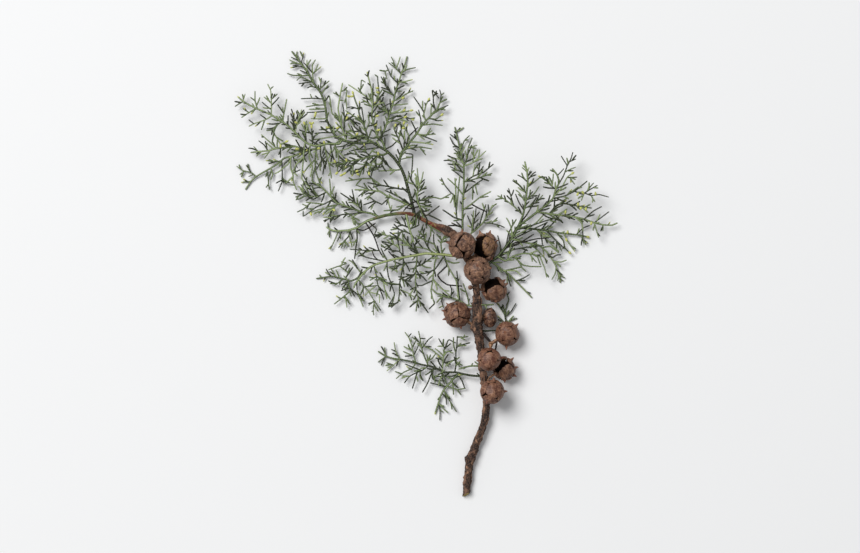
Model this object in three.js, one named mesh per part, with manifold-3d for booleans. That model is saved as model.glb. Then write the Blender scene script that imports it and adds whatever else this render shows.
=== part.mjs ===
// A cut cypress sprig with round woody cones, lying flat on a surface.
// Units are millimetres, +Z is up, the surface is z = 0 and the growing direction is +Y.
// A route is a text of hand-chosen "x,y" points. A star after a point marks a tip that ends
// in a swollen pollen cone. Heights are listed apart, from the base of a spray to its tip.
import * as THREE from 'three';
import { mergeVertices } from 'three/addons/utils/BufferGeometryUtils.js';
import Module from 'manifold-3d';

const wasm = await Module();
wasm.setup();

// Driving dimensions
const SEAT_GAP = 0.3; // clearance where a spray or a stalk is seated on what carries it
const SHOOT_RADIUS = 0.72; // scale-leaved shoots are about 1.4 mm thick
const SHOOT_TIP_RADIUS = 0.6;
const POLLEN_CONE_RADIUS = 1.2;
const SHORTEST_SHOOT = 10; // shoots shorter than this are left out of the construction
const STRAIGHT_ENOUGH = 1.6; // a point nearer than this to its chord is dropped
const AXIS_STRAIGHT_ENOUGH = 0.7;
const STEM_SIDES = 8;
const AXIS_SIDES = 5;
const SHOOT_SIDES = 3;
const CONE_SEGMENTS = 10;
const CONE_RINGS = 7;
const SHOOT_SLOPES = [0.5, -0.4, 0.3, -0.5, 0]; // height won or lost by a side shoot at its tip

// Finishes
const BARK = new THREE.MeshStandardMaterial({ color: 0x4f3d33, roughness: 0.85, metalness: 0 });
const FOLIAGE = new THREE.MeshStandardMaterial({ color: 0x63784f, roughness: 0.6, metalness: 0 });
const CONE = new THREE.MeshStandardMaterial({ color: 0x7d6251, roughness: 0.75, metalness: 0 });

// Main stem from its cut end to the fork: x, y, height of its centre line, radius
const STEM = [
  [32, -177, 3, 3], [33, -168, 3.1, 3], [34.3, -155, 3.6, 3], [35.5, -148, 4, 3.8],
  [38.5, -140, 4.5, 2.9], [42.5, -130, 5.2, 2.9], [45.5, -122, 5.8, 2.9], [47.5, -114, 6.3, 2.9],
  [48.5, -100, 6.8, 2.8], [47, -92, 7, 2.8], [45.5, -80, 7.6, 3], [44, -62, 8.4, 3],
  [42, -50, 9.4, 3.5], [41, -45, 9.8, 4], [41, -33, 10, 4], [40.5, -25, 10, 3.5],
  [40.3, -15, 9.5, 2.8], [38, 0, 9, 2.5], [34, 10, 9, 2.8], [29, 20, 9, 3.4],
  [22, 30, 9, 3.6], [17, 34, 9, 3.7], [12, 36, 8.8, 2.5], [2, 40, 8.5, 1.8],
  [-8, 46, 8, 1.7], [-15, 47.5, 8, 1.6], [-22, 47.5, 7.8, 1.5], [-32, 46, 7.5, 1.4], [-42, 43, 7, 1.3],
];
// Thin woody twig on the stem that carries two of the cones
const CONE_TWIG = [[42, -45, 9.8, 1.6], [48, -51, 9.6, 1.1], [53, -57, 9.4, 1.0]];

// Sprays: carrier and the point where it is seated, heights from base to tip, radii of the axis
const SPRAYS = [
  {
    name: 'upper_branch', carrier: 'main_stem', seat: '-9,46.2', heights: [8, 9, 10, 10, 8, 5, 3, 1.2],
    radii: [1.35, 0.75],
    axis: `-11,55 -14,66 -17,77 -20,84 -25,91 -31,97 -43,104 -52,103 -60,104 -68,106 -72,109 -76,115
      -79,122 -80,132 -82,139 -84,144 -90,152 -95,161 -98,165 -104,173 -107.5,177.5`,
    shoots: `-90,152 -91,162 -91,166 -88,170.5; -100,166 -104,168 -109.5,170.5; -101,170 -108,172.5;
      -99,163 -106.5,166; -93,158 -99,157.5 -107,158 -111,159.5; -92,151 -100,156.5 -103.5,153.5;
      -92,151 -102,151; -99,168 -97.5,176.5; -95,161 -95,170.5; -92,160 -97.5,168; -90,159 -83.5,165;
      -84,147 -81,150 -77,153.5; -84,147 -83.5,156; -83,138.5 -91,139.5 -100,139;
      -81,134 -88,133.5 -96,132.5; -80,131 -93.5,130.5; -80,129 -86,128.5 -95.5,128; -79,123 -92,123;
      -75,111 -82,112 -89,111; -75,107 -90,106; -80,132 -80.5,141; -20,82 -25,81.5 -38,81;
      -26,82 -33,88 -40,97; -15,66 -21,67 -30,69 -36,70 -47,72; -36,70 -43,75 -50,75 -64.5,73`,
  },
  {
    name: 'spray_left_high', carrier: 'upper_branch', seat: '-67,106', heights: [8, 11, 12, 12, 9, 5],
    radii: [0.95, 0.65],
    axis: `-69,102.6 -78,103 -88,101 -94,103 -99,107 -103,111 -108,116 -112,119 -123,126 -129,128.5 -135,131
      -141,134 -146,137 -150.5,141`,
    shoots: `-146,137 -144,143; -146,136 -152.5,132.5; -134,131 -136,137 -136,145; -135,130.5 -140,128 -147,123.5;
      -123,126 -123,134 -123.5,145 -126,150.5; -123,138 -118,142.5; -122.5,133 -116.5,140; -123,130 -130.5,136;
      -122,125 -127,122 -131,120.5 -137,118.5 -141,116.5; -128,121 -131,113.5;
      -114,120 -113,127 -112,132 -110.5,138.5; -113,127 -118,134; -104,113 -105,124 -107,130.5;
      -103,113 -98.5,130; -110,117 -109.5,125.5; -115,119 -119,117 -122,113.5 -115.5,102; -95,104 -97,120.5*;
      -90,102 -91,118*`,
  },
  {
    name: 'spray_left_low', carrier: 'spray_left_high', seat: '-86,101.4', heights: [10.5, 7, 4, 3, 2, 0.9],
    radii: [0.85, 0.62],
    axis: `-87.5,98.8 -92,98 -99,96 -105,93.5 -113,92 -119,87 -123,84.5 -131,80 -136,77 -140,73.5 -144.5,66.5`,
    shoots: `-116,89 -121,88.5 -126,87; -136,77 -139,80 -147,82 -151.5,85.5; -140,80 -144,86.5; -140,73 -148,72.5;
      -127,82 -126,74 -126,70 -124.5,66; -107,93 -110,87 -114,84 -117,81 -121,79;
      -107,91 -108,84 -106,78 -106,73 -103,66; -107,77 -112,71.5; -115,90 -115,84 -115,77 -115,73 -118,65`,
  },
  {
    name: 'spray_left_mid', carrier: 'spray_left_low', seat: '-96,97', heights: [7.5, 7.5, 7, 6],
    radii: [0.8, 0.62],
    axis: `-104,101 -112,100 -121,99 -125,97.5 -131,97 -140,96`,
    shoots: `-119,100 -124,104 -131.5,110.5; -126,98 -129,102 -133.5,105.5; -124,98 -129,91`,
  },
  {
    name: 'spray_tangle', carrier: 'upper_branch', seat: '-30,96', heights: [11, 15, 15, 13],
    radii: [0.85, 0.62],
    axis: `-33,94 -42,93 -54,90 -64,88 -72,84`,
    shoots: `-34,93 -35,84 -46,83; -37,93 -45,85 -56,87; -45,92 -50,84 -56,80*; -56,89 -60,82 -66,78*;
      -62,88 -66,84 -72,78*; -50,91 -55,94 -63,95`,
  },
  {
    name: 'spray_top_right', carrier: 'upper_branch', seat: '-32,97.6', heights: [10, 7, 5, 5, 4, 3, 1],
    radii: [0.95, 0.65],
    axis: `-34,103 -36,108 -33,114 -31,120 -28,130 -26,136 -24,146 -22,151 -19,161 -17,166 -15,173.5`,
    shoots: `-19,160 -15,162.5 -8,164; -20,159 -24,163 -30,168; -24,164 -26,169 -28,173; -23,164 -22,168 -20.5,173;
      -22,151 -28,157 -30,162 -32,166.5; -30,162 -31,154; -21,152 -16,153 -10.5,154.5; -25,141 -29,145 -36,157;
      -25,137 -20,140 -10,145.5; -26,135 -30,135 -36,131.5; -25,133 -20,134 -14,135; -25,134 -17,140.5*;
      -28,127 -20,128 -10,130*; -30,120 -24,121.5 -17,124 -9,122*; -29,126 -34,131 -37,140 -33,144;
      -29,130 -39,128.5`,
  },
  {
    name: 'spray_top_centre', carrier: 'spray_top_right', seat: '-35.8,107.6', heights: [8, 10, 10, 9, 7],
    radii: [0.85, 0.62],
    axis: `-39,108.6 -40,114 -42,120 -43,126 -42,132 -43,146 -44,149 -47,160.5`,
    shoots: `-42,131 -46,135 -51,138; -43,135 -47,140 -53,144 -62,150; -52,144 -51.5,154 -48,151.5; -43,142 -42,151;
      -40,131 -38,137 -37,144 -38,151 -38.5,157`,
  },
  {
    name: 'spray_top_mid', carrier: 'upper_branch', seat: '-46,103.6', heights: [11, 13.5, 14, 13],
    radii: [0.8, 0.62],
    axis: `-47,110 -50,119 -53,125 -54,131 -56,136 -58.5,144.5*`,
    shoots: `-49,118 -52,121.5 -64,129; -55,130 -63,131`,
  },
  {
    name: 'spray_top_inner', carrier: 'upper_branch', seat: '-63,104.6', heights: [8, 5, 4, 3],
    radii: [0.8, 0.62],
    axis: `-66,114 -68,119 -70,131 -69,138 -68,144 -66.5,152`,
    shoots: `-69,141 -74.5,144; -68,145 -63,146.5 -64,140 -63,130; -70,123 -75,127 -77,141.5; -66,112 -65,125 -66.5,135`,
  },
  {
    name: 'spray_upper_right', carrier: 'upper_branch', seat: '-21.5,86', heights: [10, 11, 11, 10, 8, 5, 3],
    radii: [0.95, 0.65],
    axis: `-20,95 -15,101 -11,106 -7,111 -4,116 0,121 4,125 6,128 9,130 11,136 17,139`,
    shoots: `0,121 -2,126 0,134 2.5,139.5*; -2,128 -10,140.5; -4,115 -4,122 -6,130; 4,125 4,130 5,135; 7,130 6,140 5,146 10,139;
      11,137 12,142 10.5,146; 12,142 14.5,144; 9,130 17.5,134; 5,126 15,132; 4,121 13.5,127*; 4,120 14,121.5;
      -2,117 13,117.5; -7,110 -2,109.5 8,110.5; -6,107 9,104.5; -12,104 0,103 6,102; -18,99 -5,100 5,98.5;
      -5,100 0,93.5; -16,101 -14,108 -6,116; -14,104 -18,118; -18,102 -20,112 -19,118; -19,98 -25,113 -24,119*`,
  },
  {
    name: 'leader_shoot', carrier: 'main_stem', seat: 'end', heights: [6.9, 4.5, 3.5, 2.5, 1],
    radii: [1.05, 0.65],
    axis: `-47,41.5 -51,39 -55,36 -62,34 -70,33.5 -75,34 -80,37`,
    shoots: `-70,33 -72,28 -76.5,18.5; -67,33 -71,25; -60,34 -62,29 -66,25 -70,20; -64,26 -65,20; -60,32 -59,20;
      -55,35 -55,27 -56,21 -57,11; -48,40 -45,35 -42,30 -40,25 -38,19 -34,12; -38,17.5 -44,18 -52,18.5 -61,19`,
  },
  {
    name: 'spray_leader_upper', carrier: 'main_stem', seat: '-37,44.5', heights: [8, 6, 5.5, 5, 4, 2.5, 1],
    radii: [0.95, 0.62],
    axis: `-44,47.5 -53,49 -58,51 -68,54.5 -72,56 -79,64 -83,68 -91,73 -91,78 -88,86`,
    shoots: `-50,49 -55,55 -60,58.5 -68.5,64; -56,57 -58,62 -59,67; -76,60 -77,75.5; -84,69 -85.5,76;
      -80,64 -86,61 -90,64 -93,68 -97,76 -99,80; -86,60 -97,61.5 -101,69; -92,62 -95,64.5 -104.5,60.5;
      -75,58 -81,55 -87,53 -95,47; -82,56 -96,56.5; -90,52 -97,51 -103,48.5; -70,55 -75,51 -85,50.5 -94,47.5;
      -72,56 -75,65; -49,48 -57,47 -66,46.5 -72,45 -82,41.5; -60,47 -54,38.5`,
  },
  {
    name: 'spray_leader_lower', carrier: 'main_stem', seat: '-16,47.6', heights: [8, 12, 12, 12],
    radii: [1.0, 0.75],
    axis: `-14,38 -13,34 -11,28 -9.5,24`,
    shoots: `-14,36 -25,41; -12,31 -18,33 -27,36.5`,
  },
  {
    name: 'spray_fork_left', carrier: 'upper_branch', seat: '-10.4,52.5', heights: [8, 12.5, 13.5, 13],
    radii: [0.8, 0.62],
    axis: `-16,55 -20,57 -31,61 -36,64.5 -40,65 -48,66 -57,66`,
    shoots: `-44,66 -55,69.5; -48,65 -54,60.5; -40,64 -45,61 -49,58.5; -29,59 -35,54 -41,57 -46,61.5;
      -41,57 -50,54; -16,54 -22,50 -34,49.5`,
  },
  {
    name: 'tuft_fork', carrier: 'main_stem', seat: '-1,42', heights: [8.5, 12, 15, 16],
    radii: [0.8, 0.62],
    axis: `-4,50 -7,58 -6.5,65 -5.5,70 -7,76 -9,79`,
    shoots: `-6,61 0.5,69; -5,68 -3,74 -2,80.5; -7,72 -12,78 -11,85 -10.5,94 -17,95; -7,57 2,59.5 7,60 12,58.5 20,63;
      -6,55 3,56; -4,50 4,48 11,53.5`,
  },
  {
    name: 'spray_left_long', carrier: 'main_stem', seat: '31,15.5', heights: [9, 8.5, 8, 8, 6, 4],
    radii: [1.15, 0.75],
    axis: `22,13.5 15,14.5 0,15.5 -14,13 -25,11 -36,8 -41,6.5 -46,3.5 -50,0 -53,-4 -56,-8 -58,-12.5`,
    shoots: `-31,11 -36,20; -32,10 -40,11 -47,12.5 -52,14; -39,9 -43,18; -17,14 -21,17.5 -28,18.5 -36,21.5;
      -21,17 -22,25 -22,34; -26,19 -28,27; -26,23 -36,25.5; 8,15 2,18.5 -3,20 -10,21; -10,20 -16,23 -22,28 -33,30 -39,32.5;
      -6,15 -9,22 -6,28 -2,39; 3,17 0,24 -3,37; 10,15 7,23 -1,26 -8,30; 8,17 6.5,24 6,31; 13,15 12,24 15,28;
      9,14 7,8 6.5,2 5,-9 4,-14 5,-19 7,-25; 15,14 7,3 0,0 -6,-1; 15,13 17,6 9,-1.5 12,-6 17,-9.5 29,-10.5;
      5,-5 12,-12 20,-19; 5,-6 -3,-10 -7,-10; 13,14 16,9 21,-1 24,-6 26,-19; 15,10 22,8 27,8.5;
      -7,14 -7.5,8 -8,2 -8.5,-5 -8,-11 -7,-17 -4,-27; -8,-1 -14,-2 -22,-5.5; -8,9 -15,8 -22,6 -30,4.5;
      -7,5 -3,7 7,14; -18,12 -18,7 -19,1 -20,-4 -21,-9 -21,-16 -22,-23 -29,-27; -20,-4 -15,-8 -10,-13;
      -20,-13 -14,-16 -8,-20; -21,-9 -28,-9 -34,-6 -41,-1; -7,-20 -8,-31; -5,-22 1.5,-31.5; -25,11 -23,0;
      -31,9 -31,4 -30,-3 -28,-8 -25,-17 -30,-27; -41,5 -40,0 -39,-8 -37,-13 -33.5,-21; -34,-7 -31,-21;
      -53,-6 -49,-11 -46,-14 -43,-19 -37,-29; -41,-22 -42,-30; -50,-10 -50,-19; -49,-11 -38,-10`,
  },
  {
    name: 'spray_left_end', carrier: 'spray_left_long', seat: '-52.4,-3.2', heights: [5, 4, 2.5, 0.9],
    radii: [0.8, 0.62],
    axis: `-60,-6.5 -64,-5 -69,-4 -74,-2.5 -79,-3 -88,-4.5`,
    shoots: `-76,-2.5 -80,3.5; -72,-3 -76,4; -66,-5 -73,-10; -62,-6 -67,-13; -64,-4 -62,0 -69,5.5 -78,2.5;
      -63,-3 -58,5 -59,9; -62,-6 -61,-14.5 -65,-18 -73.5,-25; -64.5,-18 -63,-28; -60,-12 -68,-14`,
  },
  {
    name: 'spray_mid_low', carrier: 'main_stem', seat: '40.7,-27', heights: [9, 4, 3.4, 3, 2],
    radii: [0.8, 0.6],
    axis: `32,-25.5 28,-22.5 24,-21 20,-19.5 14,-17.5 8,-16 4,-12`,
    shoots: `27,-22 26,-15 24.5,2; 34.5,-26 33,-19 29.5,-8; 22,-20 9,-18.5; 20,-19 20.5,-13 19,-9.5`,
  },
  {
    name: 'twig_across_stem', carrier: 'main_stem', seat: '41,-25', heights: [10, 12, 12],
    radii: [0.7, 0.6],
    axis: `48,-25.5 54,-25`,
    shoots: '',
  },
  {
    name: 'spray_bottom_left', carrier: 'main_stem', seat: '45.7,-82.5', heights: [7.6, 6, 5, 4.5, 3.5, 2.5, 1],
    radii: [0.9, 0.62],
    axis: `35,-81.5 28,-80 24,-79 14,-79 8,-75.5 3,-74 -3,-73 -14,-70 -20,-69 -27,-68 -32,-66.5 -38.5,-62.5`,
    shoots: `-32,-67.5 -38.5,-71.5; -21,-68.5 -24,-62 -25.5,-55; -21,-70 -26,-74 -31.5,-78.5;
      -8,-71 -10,-64 -11,-58 -13.5,-51.5 -17,-47; -10,-62 -18,-58.5; -9,-65 -5,-55.5;
      -8,-72 -11,-76 -18,-79 -24,-84.5; 2,-75 -3,-78 -8,-80 -13,-82.5 -17.5,-88; -3,-78 -17,-72.5; -7,-80 -9,-87 -11,-92.5;
      2,-73 -1,-67 -3,-61 -4,-55 -6,-46; -3,-60 2,-53 5.5,-50.5; -2,-58 5,-61 13,-68; 13,-78 13.5,-72 14,-66 15,-60;
      14,-60 10,-52; 14,-61 18,-53 24,-56; 14,-66 7,-60; 13,-68 22,-64; 23,-78 24,-72 23.5,-64 24.5,-58 25,-50;
      24.5,-59 29,-57 35.5,-55.5; 25,-51 34,-50.5; 23,-63 22,-51; 24,-69 15,-71.5; 13,-78 13,-84 15,-89;
      6,-76 1,-88 -3,-95.5; 5,-76 8,-86 16,-86`,
  },
  {
    name: 'spray_bottom_down', carrier: 'spray_bottom_left', seat: '26.5,-79.6', heights: [5, 3.5, 2.5, 1.2],
    radii: [0.85, 0.62],
    axis: `22,-84 20,-86.5 16,-90.5 14,-93 11.5,-98 10,-103 7,-113`,
    shoots: `14.5,-93 16,-98 20,-104 24.5,-111; 13,-96 16.5,-105.5; 10,-104 14,-108.5 18,-112; 10,-104 11,-110 11,-118;
      15,-90 8,-88.5 3,-87.5; 16,-90 21,-92 25,-93.5 32,-92; 21,-86 22,-91 22,-97.5; 22,-84 29,-86 31,-92`,
  },
  {
    name: 'twig_bottom', carrier: 'main_stem', seat: '44.8,-74', heights: [8, 7, 6],
    radii: [0.7, 0.6],
    axis: `36,-74 31,-75 26,-76.5`,
    shoots: '',
  },
  {
    name: 'spray_centre_up', carrier: 'main_stem', seat: '24,27', heights: [9, 9.5, 9, 8, 6, 4, 2, 0.9],
    radii: [0.95, 0.65],
    axis: `29,33 29,44 29,56 30,66 30,86 28,94 25,108 23,117`,
    shoots: `28,42 22,44 13,50.5; 25,45 24,54 23,62 20,64 15,70 12,76; 24,50 25.5,60 27,78; 30,62 24,69 17,75.5;
      30,75 19,85; 30,84 17,91; 30,88 20,91; 28,94 22,99; 27,100 22,103 19,109; 24,56 23,76;
      29,50 34,53 38,56 43,60 53.5,66; 30,63 35,67 40,71 46,75; 39,70 41,62; 38,68 37,58; 30,72 38,77 46,80 54,87;
      31,73 42,76 53,79.5; 37,77 39,87; 41,79 43,87; 31,85 37,88 42,92 48,97.5; 37,89 38,99; 42,92 43,99;
      30,86 33,92 33.5,100 37,108; 33,100 41,102; 28,98 31,106 35,110`,
  },
  {
    name: 'spray_centre_right', carrier: 'main_stem', seat: '27.6,22.4', heights: [9, 5, 4, 3],
    radii: [0.8, 0.62],
    axis: `35,31 41,36 46,41 50,48 53.5,54.5`,
    shoots: `45,40 52,39.5 63,36; 52,40 57.5,44.5; 42,38 45,46 48,55; 38,34 33,46; 36,33 38,50`,
  },
  {
    name: 'spray_right_main', carrier: 'main_stem', seat: '38.4,-2', heights: [9.5, 9.5, 11, 12, 12, 12, 10],
    radii: [1.05, 0.68],
    axis: `51,8 58,14 63,20 68,27 73,36 77,45 79,54 80,64 81,72 80.5,80 78.5,89`,
    shoots: `67,28 67.5,36 63.5,44; 76,46 70,53 56.5,61.5; 70,54 65.5,67.5; 78,56 74,64; 76,50 71,63; 80,63 74,70 68.5,73.5;
      81,72 72.5,78; 81,74 87.5,80.5; 81,68 87,73 92,77 95,73; 79.5,58 86,63 90,69; 79,51 88,57 93,62`,
  },
  {
    name: 'spray_right_top', carrier: 'spray_right_main', seat: '74,38', heights: [12, 14, 15.5, 16, 15, 14],
    radii: [0.9, 0.65],
    axis: `80,42 88,48 96,54 101,59 103,66 106,72 104,78 100,83`,
    shoots: `103,66 92,77; 103,60 108,68 112,76 117.5,80*; 107,70 109,77 112,85 107,93; 112,85 116.5,96; 110,80 119,84;
      110,75 120,76; 102,58 110,61 118,65 128,73; 112,62 124,62 130,66 136,69.5; 126,63 137,62 145,60; 118,65 121,68.5`,
  },
  {
    name: 'spray_right_far', carrier: 'spray_right_top', seat: '88.5,48.4', heights: [14, 11, 10, 9, 7, 5],
    radii: [0.85, 0.62],
    axis: `98,47 107,46 117,45 126,43 134,40 141,38.5 148,38 153,40`,
    shoots: `126,43 133,49 140,53; 134,40 141,45 146,49; 134,40 136,34 137.5,28; 141,39 141,33; 118,45 124,40 125,33;
      98,47 104,54 110,55 120,53 132,51.5`,
  },
  {
    name: 'spray_right_mid', carrier: 'spray_right_main', seat: '73,36', heights: [11, 7, 5, 4, 3, 2],
    radii: [0.85, 0.62],
    axis: `86,35 96,34 106,32 116,31 124,30 131,28.5*`,
    shoots: `124,30 128,22; 120,31 126,36 131,38; 110,31 113,25 119,17; 104,32 110,24 116,15*; 96,35 107,46;
      96,34 104,26 111,19; 88,34 98,25 108,17; 92,35 97,41`,
  },
  {
    name: 'spray_right_low', carrier: 'spray_right_main', seat: '68,27', heights: [10, 9, 8, 6, 4, 2, 0.9],
    radii: [0.85, 0.62],
    axis: `80,24 90,22 96,17 100,12 103,7 105,2 107,-3 107.5,-8`,
    shoots: `104,3 104,0 100,-5; 100,10 107,9 113,10.5; 98,14 104,15 108,15; 92,20 99,21 106,16; 106,-1 111,-3.5;
      84,23 92,15 97,9`,
  },
  {
    name: 'spray_right_under', carrier: 'spray_right_main', seat: '52,9', heights: [9, 5, 3, 2, 0.9],
    radii: [0.8, 0.62],
    axis: `60,3 66,-1 73,-8 80,-15 85,-20`,
    shoots: `72,-6 78,-4 83,-1; 64,0 67,-8 68,-11; 62,3 72,2 76,-2; 64,2 76,5 80,1`,
  },
  {
    name: 'spray_right_inner', carrier: 'spray_right_main', seat: '57,13.2', heights: [10, 13.5, 14.5, 14, 12],
    radii: [0.8, 0.62],
    axis: `63,9.5 70,14 78,16 85,15 92,13`,
    shoots: `82,15 88,8; 88,14 91,6; 90,13 94,4 96,-4; 70,12 77,6 92,5; 64,10 70,24`,
  },
  {
    name: 'twig_right', carrier: 'main_stem', seat: '43,-46', heights: [9.5, 4, 1.6, 1.4, 0.9],
    radii: [0.8, 0.65],
    axis: `52,-46.2 56,-46 64,-39 63,-33 57,-24`,
    shoots: `63,-35 68,-31 72,-24; 64,-38 73,-36; 63,-32 66,-21 64,-15`,
  },
];

// Cones: centre, radii, the point of the stem that its stalk grows from, and where it gapes
const CONES = [
  { name: 'cone_top_left', centre: [28.5, 22, 23.6], size: 10.7, seat: [31.5, 15, 9], turn: 20 },
  { name: 'cone_open_right', centre: [47.5, 21, 10], size: 9.5, seat: [34.4, 9, 9], gape: [-7.5, 1, 6.5], turn: 50 },
  { name: 'cone_front', centre: [41, 2, 22.3], size: 10.7, seat: [38, 0, 9], turn: 75 },
  { name: 'cone_open_middle', centre: [54, -13, 10], size: 10, seat: [40, -13, 9.4], gape: [-4.5, 6, 6.5], turn: 10 },
  { name: 'cone_left', centre: [25, -33, 10.5], size: 10.5, seat: [41, -44, 9.8], turn: 40 },
  { name: 'cone_small_shaded', centre: [51, -35.5, 5.6], size: [5.5, 8, 5.6], seat: [41, -36, 9.9], turn: 0 },
  { name: 'cone_right', centre: [64.8, -48.5, 9.8], size: 9.7, seat: [52, -55.8, 9.4], turn: 65 },
  { name: 'cone_closed_low', centre: [50, -68, 22], size: 9.2, seat: [50, -53.4, 9.5], turn: 30 },
  { name: 'cone_open_low', centre: [62, -76, 9.3], size: 9.3, seat: [46.2, -86, 7.3], gape: [-4, 5.5, 6], turn: 85 },
  { name: 'cone_bottom', centre: [52.5, -94, 18.6], size: 9.3, seat: [48.3, -101, 6.8], turn: 55 },
  { name: 'young_cone', centre: [35.3, -11.5, 13], size: 1.9, seat: [40, -12, 9.3], turn: 0 },
];
const STALK_RADIUS = 0.9;
const GAPE_SIZE = 0.5; // radius of the gaping hollow, as a part of the cone's radius

// Text routes to points; a star is kept as the third value
function readRoute(text) {
  return text.trim().split(/\s+/).map((pair) => {
    const [x, y] = pair.replace('*', '').split(',').map(Number);
    return { x, y, pollen: pair.includes('*') };
  });
}

function readRoutes(text) {
  return text.split(';').map((part) => part.trim()).filter(Boolean).map(readRoute);
}

// A closed tapered limb: one ring of corners per point, square to the path, and two end caps
function limb(points, radii, sides) {
  const directions = points.map((point, i) => {
    const before = points[Math.max(i - 1, 0)];
    const after = points[Math.min(i + 1, points.length - 1)];
    return after.clone().sub(before).normalize();
  });
  const positions = [];
  const up = new THREE.Vector3(0, 0, 1);
  points.forEach((point, i) => {
    const across = new THREE.Vector3().crossVectors(directions[i], up).normalize();
    const upright = new THREE.Vector3().crossVectors(across, directions[i]);
    for (let k = 0; k < sides; k += 1) {
      const angle = (2 * Math.PI * (k + 0.5)) / sides;
      const corner = point.clone()
        .addScaledVector(across, radii[i] * Math.cos(angle))
        .addScaledVector(upright, radii[i] * Math.sin(angle));
      positions.push(corner.x, corner.y, corner.z);
    }
  });
  const index = [];
  for (let i = 0; i < points.length - 1; i += 1) {
    for (let k = 0; k < sides; k += 1) {
      const a = i * sides + k;
      const b = i * sides + ((k + 1) % sides);
      index.push(a, b + sides, b, a, a + sides, b + sides);
    }
  }
  const last = (points.length - 1) * sides;
  for (let k = 1; k < sides - 1; k += 1) {
    index.push(0, k, k + 1, last, last + k + 1, last + k);
  }
  const geometry = new THREE.BufferGeometry();
  geometry.setAttribute('position', new THREE.Float32BufferAttribute(positions, 3));
  geometry.setIndex(index);
  return geometry;
}

// A closed geometry to a solid that can be joined and cut
function toSolid(geometry) {
  const bare = geometry.clone();
  bare.deleteAttribute('normal');
  bare.deleteAttribute('uv');
  const merged = mergeVertices(bare, 1e-4);
  return new wasm.Manifold(new wasm.Mesh({
    numProp: 3,
    vertProperties: new Float32Array(merged.attributes.position.array),
    triVerts: new Uint32Array(merged.index.array),
  }));
}

function toGeometry(solid) {
  const mesh = solid.getMesh();
  const geometry = new THREE.BufferGeometry();
  geometry.setAttribute('position', new THREE.BufferAttribute(mesh.vertProperties, 3));
  geometry.setIndex(new THREE.BufferAttribute(mesh.triVerts, 1));
  geometry.computeVertexNormals();
  return geometry;
}

function joined(geometries) {
  return geometries.map(toSolid).reduce((whole, solid) => whole.add(solid));
}

// Nearest point to (x, y), seen from above, on a list of placed limbs
function nearestOn(limbs, x, y) {
  let best = { distance: Infinity };
  for (const { points, radii } of limbs) {
    for (let i = 0; i < points.length - 1; i += 1) {
      const a = points[i];
      const b = points[i + 1];
      const dx = b.x - a.x;
      const dy = b.y - a.y;
      const along = Math.min(Math.max(((x - a.x) * dx + (y - a.y) * dy) / (dx * dx + dy * dy), 0), 1);
      const point = a.clone().lerp(b, along);
      const distance = Math.hypot(point.x - x, point.y - y);
      if (distance < best.distance) {
        const radius = radii[i] + (radii[i + 1] - radii[i]) * along;
        best = { distance, point, radius, direction: b.clone().sub(a).normalize() };
      }
    }
  }
  return best;
}

// Where a limb of the given radius starts, so that its end clears the carrier by the seat gap
function seatOn(carrierPoint, carrierDirection, carrierRadius, target, radius) {
  const direction = target.clone().sub(carrierPoint).normalize();
  const cosine = Math.abs(direction.dot(carrierDirection));
  const sine = Math.max(Math.sqrt(1 - cosine * cosine), 0.35);
  const reach = (carrierRadius + SEAT_GAP + radius * cosine) / sine;
  return carrierPoint.clone().addScaledVector(direction, reach);
}

// Drops the points of a route that lie almost on the chord of their neighbours
function thinned(route, straightEnough) {
  const kept = [route[0]];
  for (let i = 1; i < route.length - 1; i += 1) {
    const a = kept[kept.length - 1];
    const b = route[i + 1];
    const offset = Math.abs((b.x - a.x) * (a.y - route[i].y) - (a.x - route[i].x) * (b.y - a.y))
      / Math.hypot(b.x - a.x, b.y - a.y);
    if (offset > straightEnough) kept.push(route[i]);
  }
  kept.push(route[route.length - 1]);
  return kept;
}

function routeLength(route) {
  return route.slice(1).reduce((sum, p, i) => sum + Math.hypot(p.x - route[i].x, p.y - route[i].y), 0);
}

// Height at a part (0 to 1) of the way along a spray, from its evenly spaced heights
function heightAt(heights, part) {
  const place = part * (heights.length - 1);
  const low = Math.min(Math.floor(place), heights.length - 2);
  return heights[low] + (heights[low + 1] - heights[low]) * (place - low);
}

function blend(ends, part) {
  return ends[0] + (ends[1] - ends[0]) * part;
}

// The axis of a spray, seated on its carrier
function placeAxis(spray, carrier) {
  const route = thinned(readRoute(spray.axis), AXIS_STRAIGHT_ENOUGH);
  const seatAtEnd = spray.seat === 'end';
  const stemEnd = carrier[0].points[carrier[0].points.length - 1];
  const start = seatAtEnd ? stemEnd : readRoute(spray.seat)[0];
  const whole = routeLength([start, ...route]);
  let gone = 0;
  let previous = start;
  const points = route.map((p) => {
    gone += Math.hypot(p.x - previous.x, p.y - previous.y);
    previous = p;
    return new THREE.Vector3(p.x, p.y, heightAt(spray.heights, gone / whole));
  });
  const first = points[0];
  if (seatAtEnd) {
    points.unshift(stemEnd.clone().addScaledVector(first.clone().sub(stemEnd).normalize(), 1.5 * SEAT_GAP));
  } else {
    const seat = nearestOn(carrier, start.x, start.y);
    points.unshift(seatOn(seat.point, seat.direction, seat.radius, first, spray.radii[0]));
  }
  const radii = points.map((_, i) => blend(spray.radii, i / (points.length - 1)));
  if (route[route.length - 1].pollen) radii[radii.length - 1] = POLLEN_CONE_RADIUS;
  return { points, radii, sides: AXIS_SIDES };
}

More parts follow.
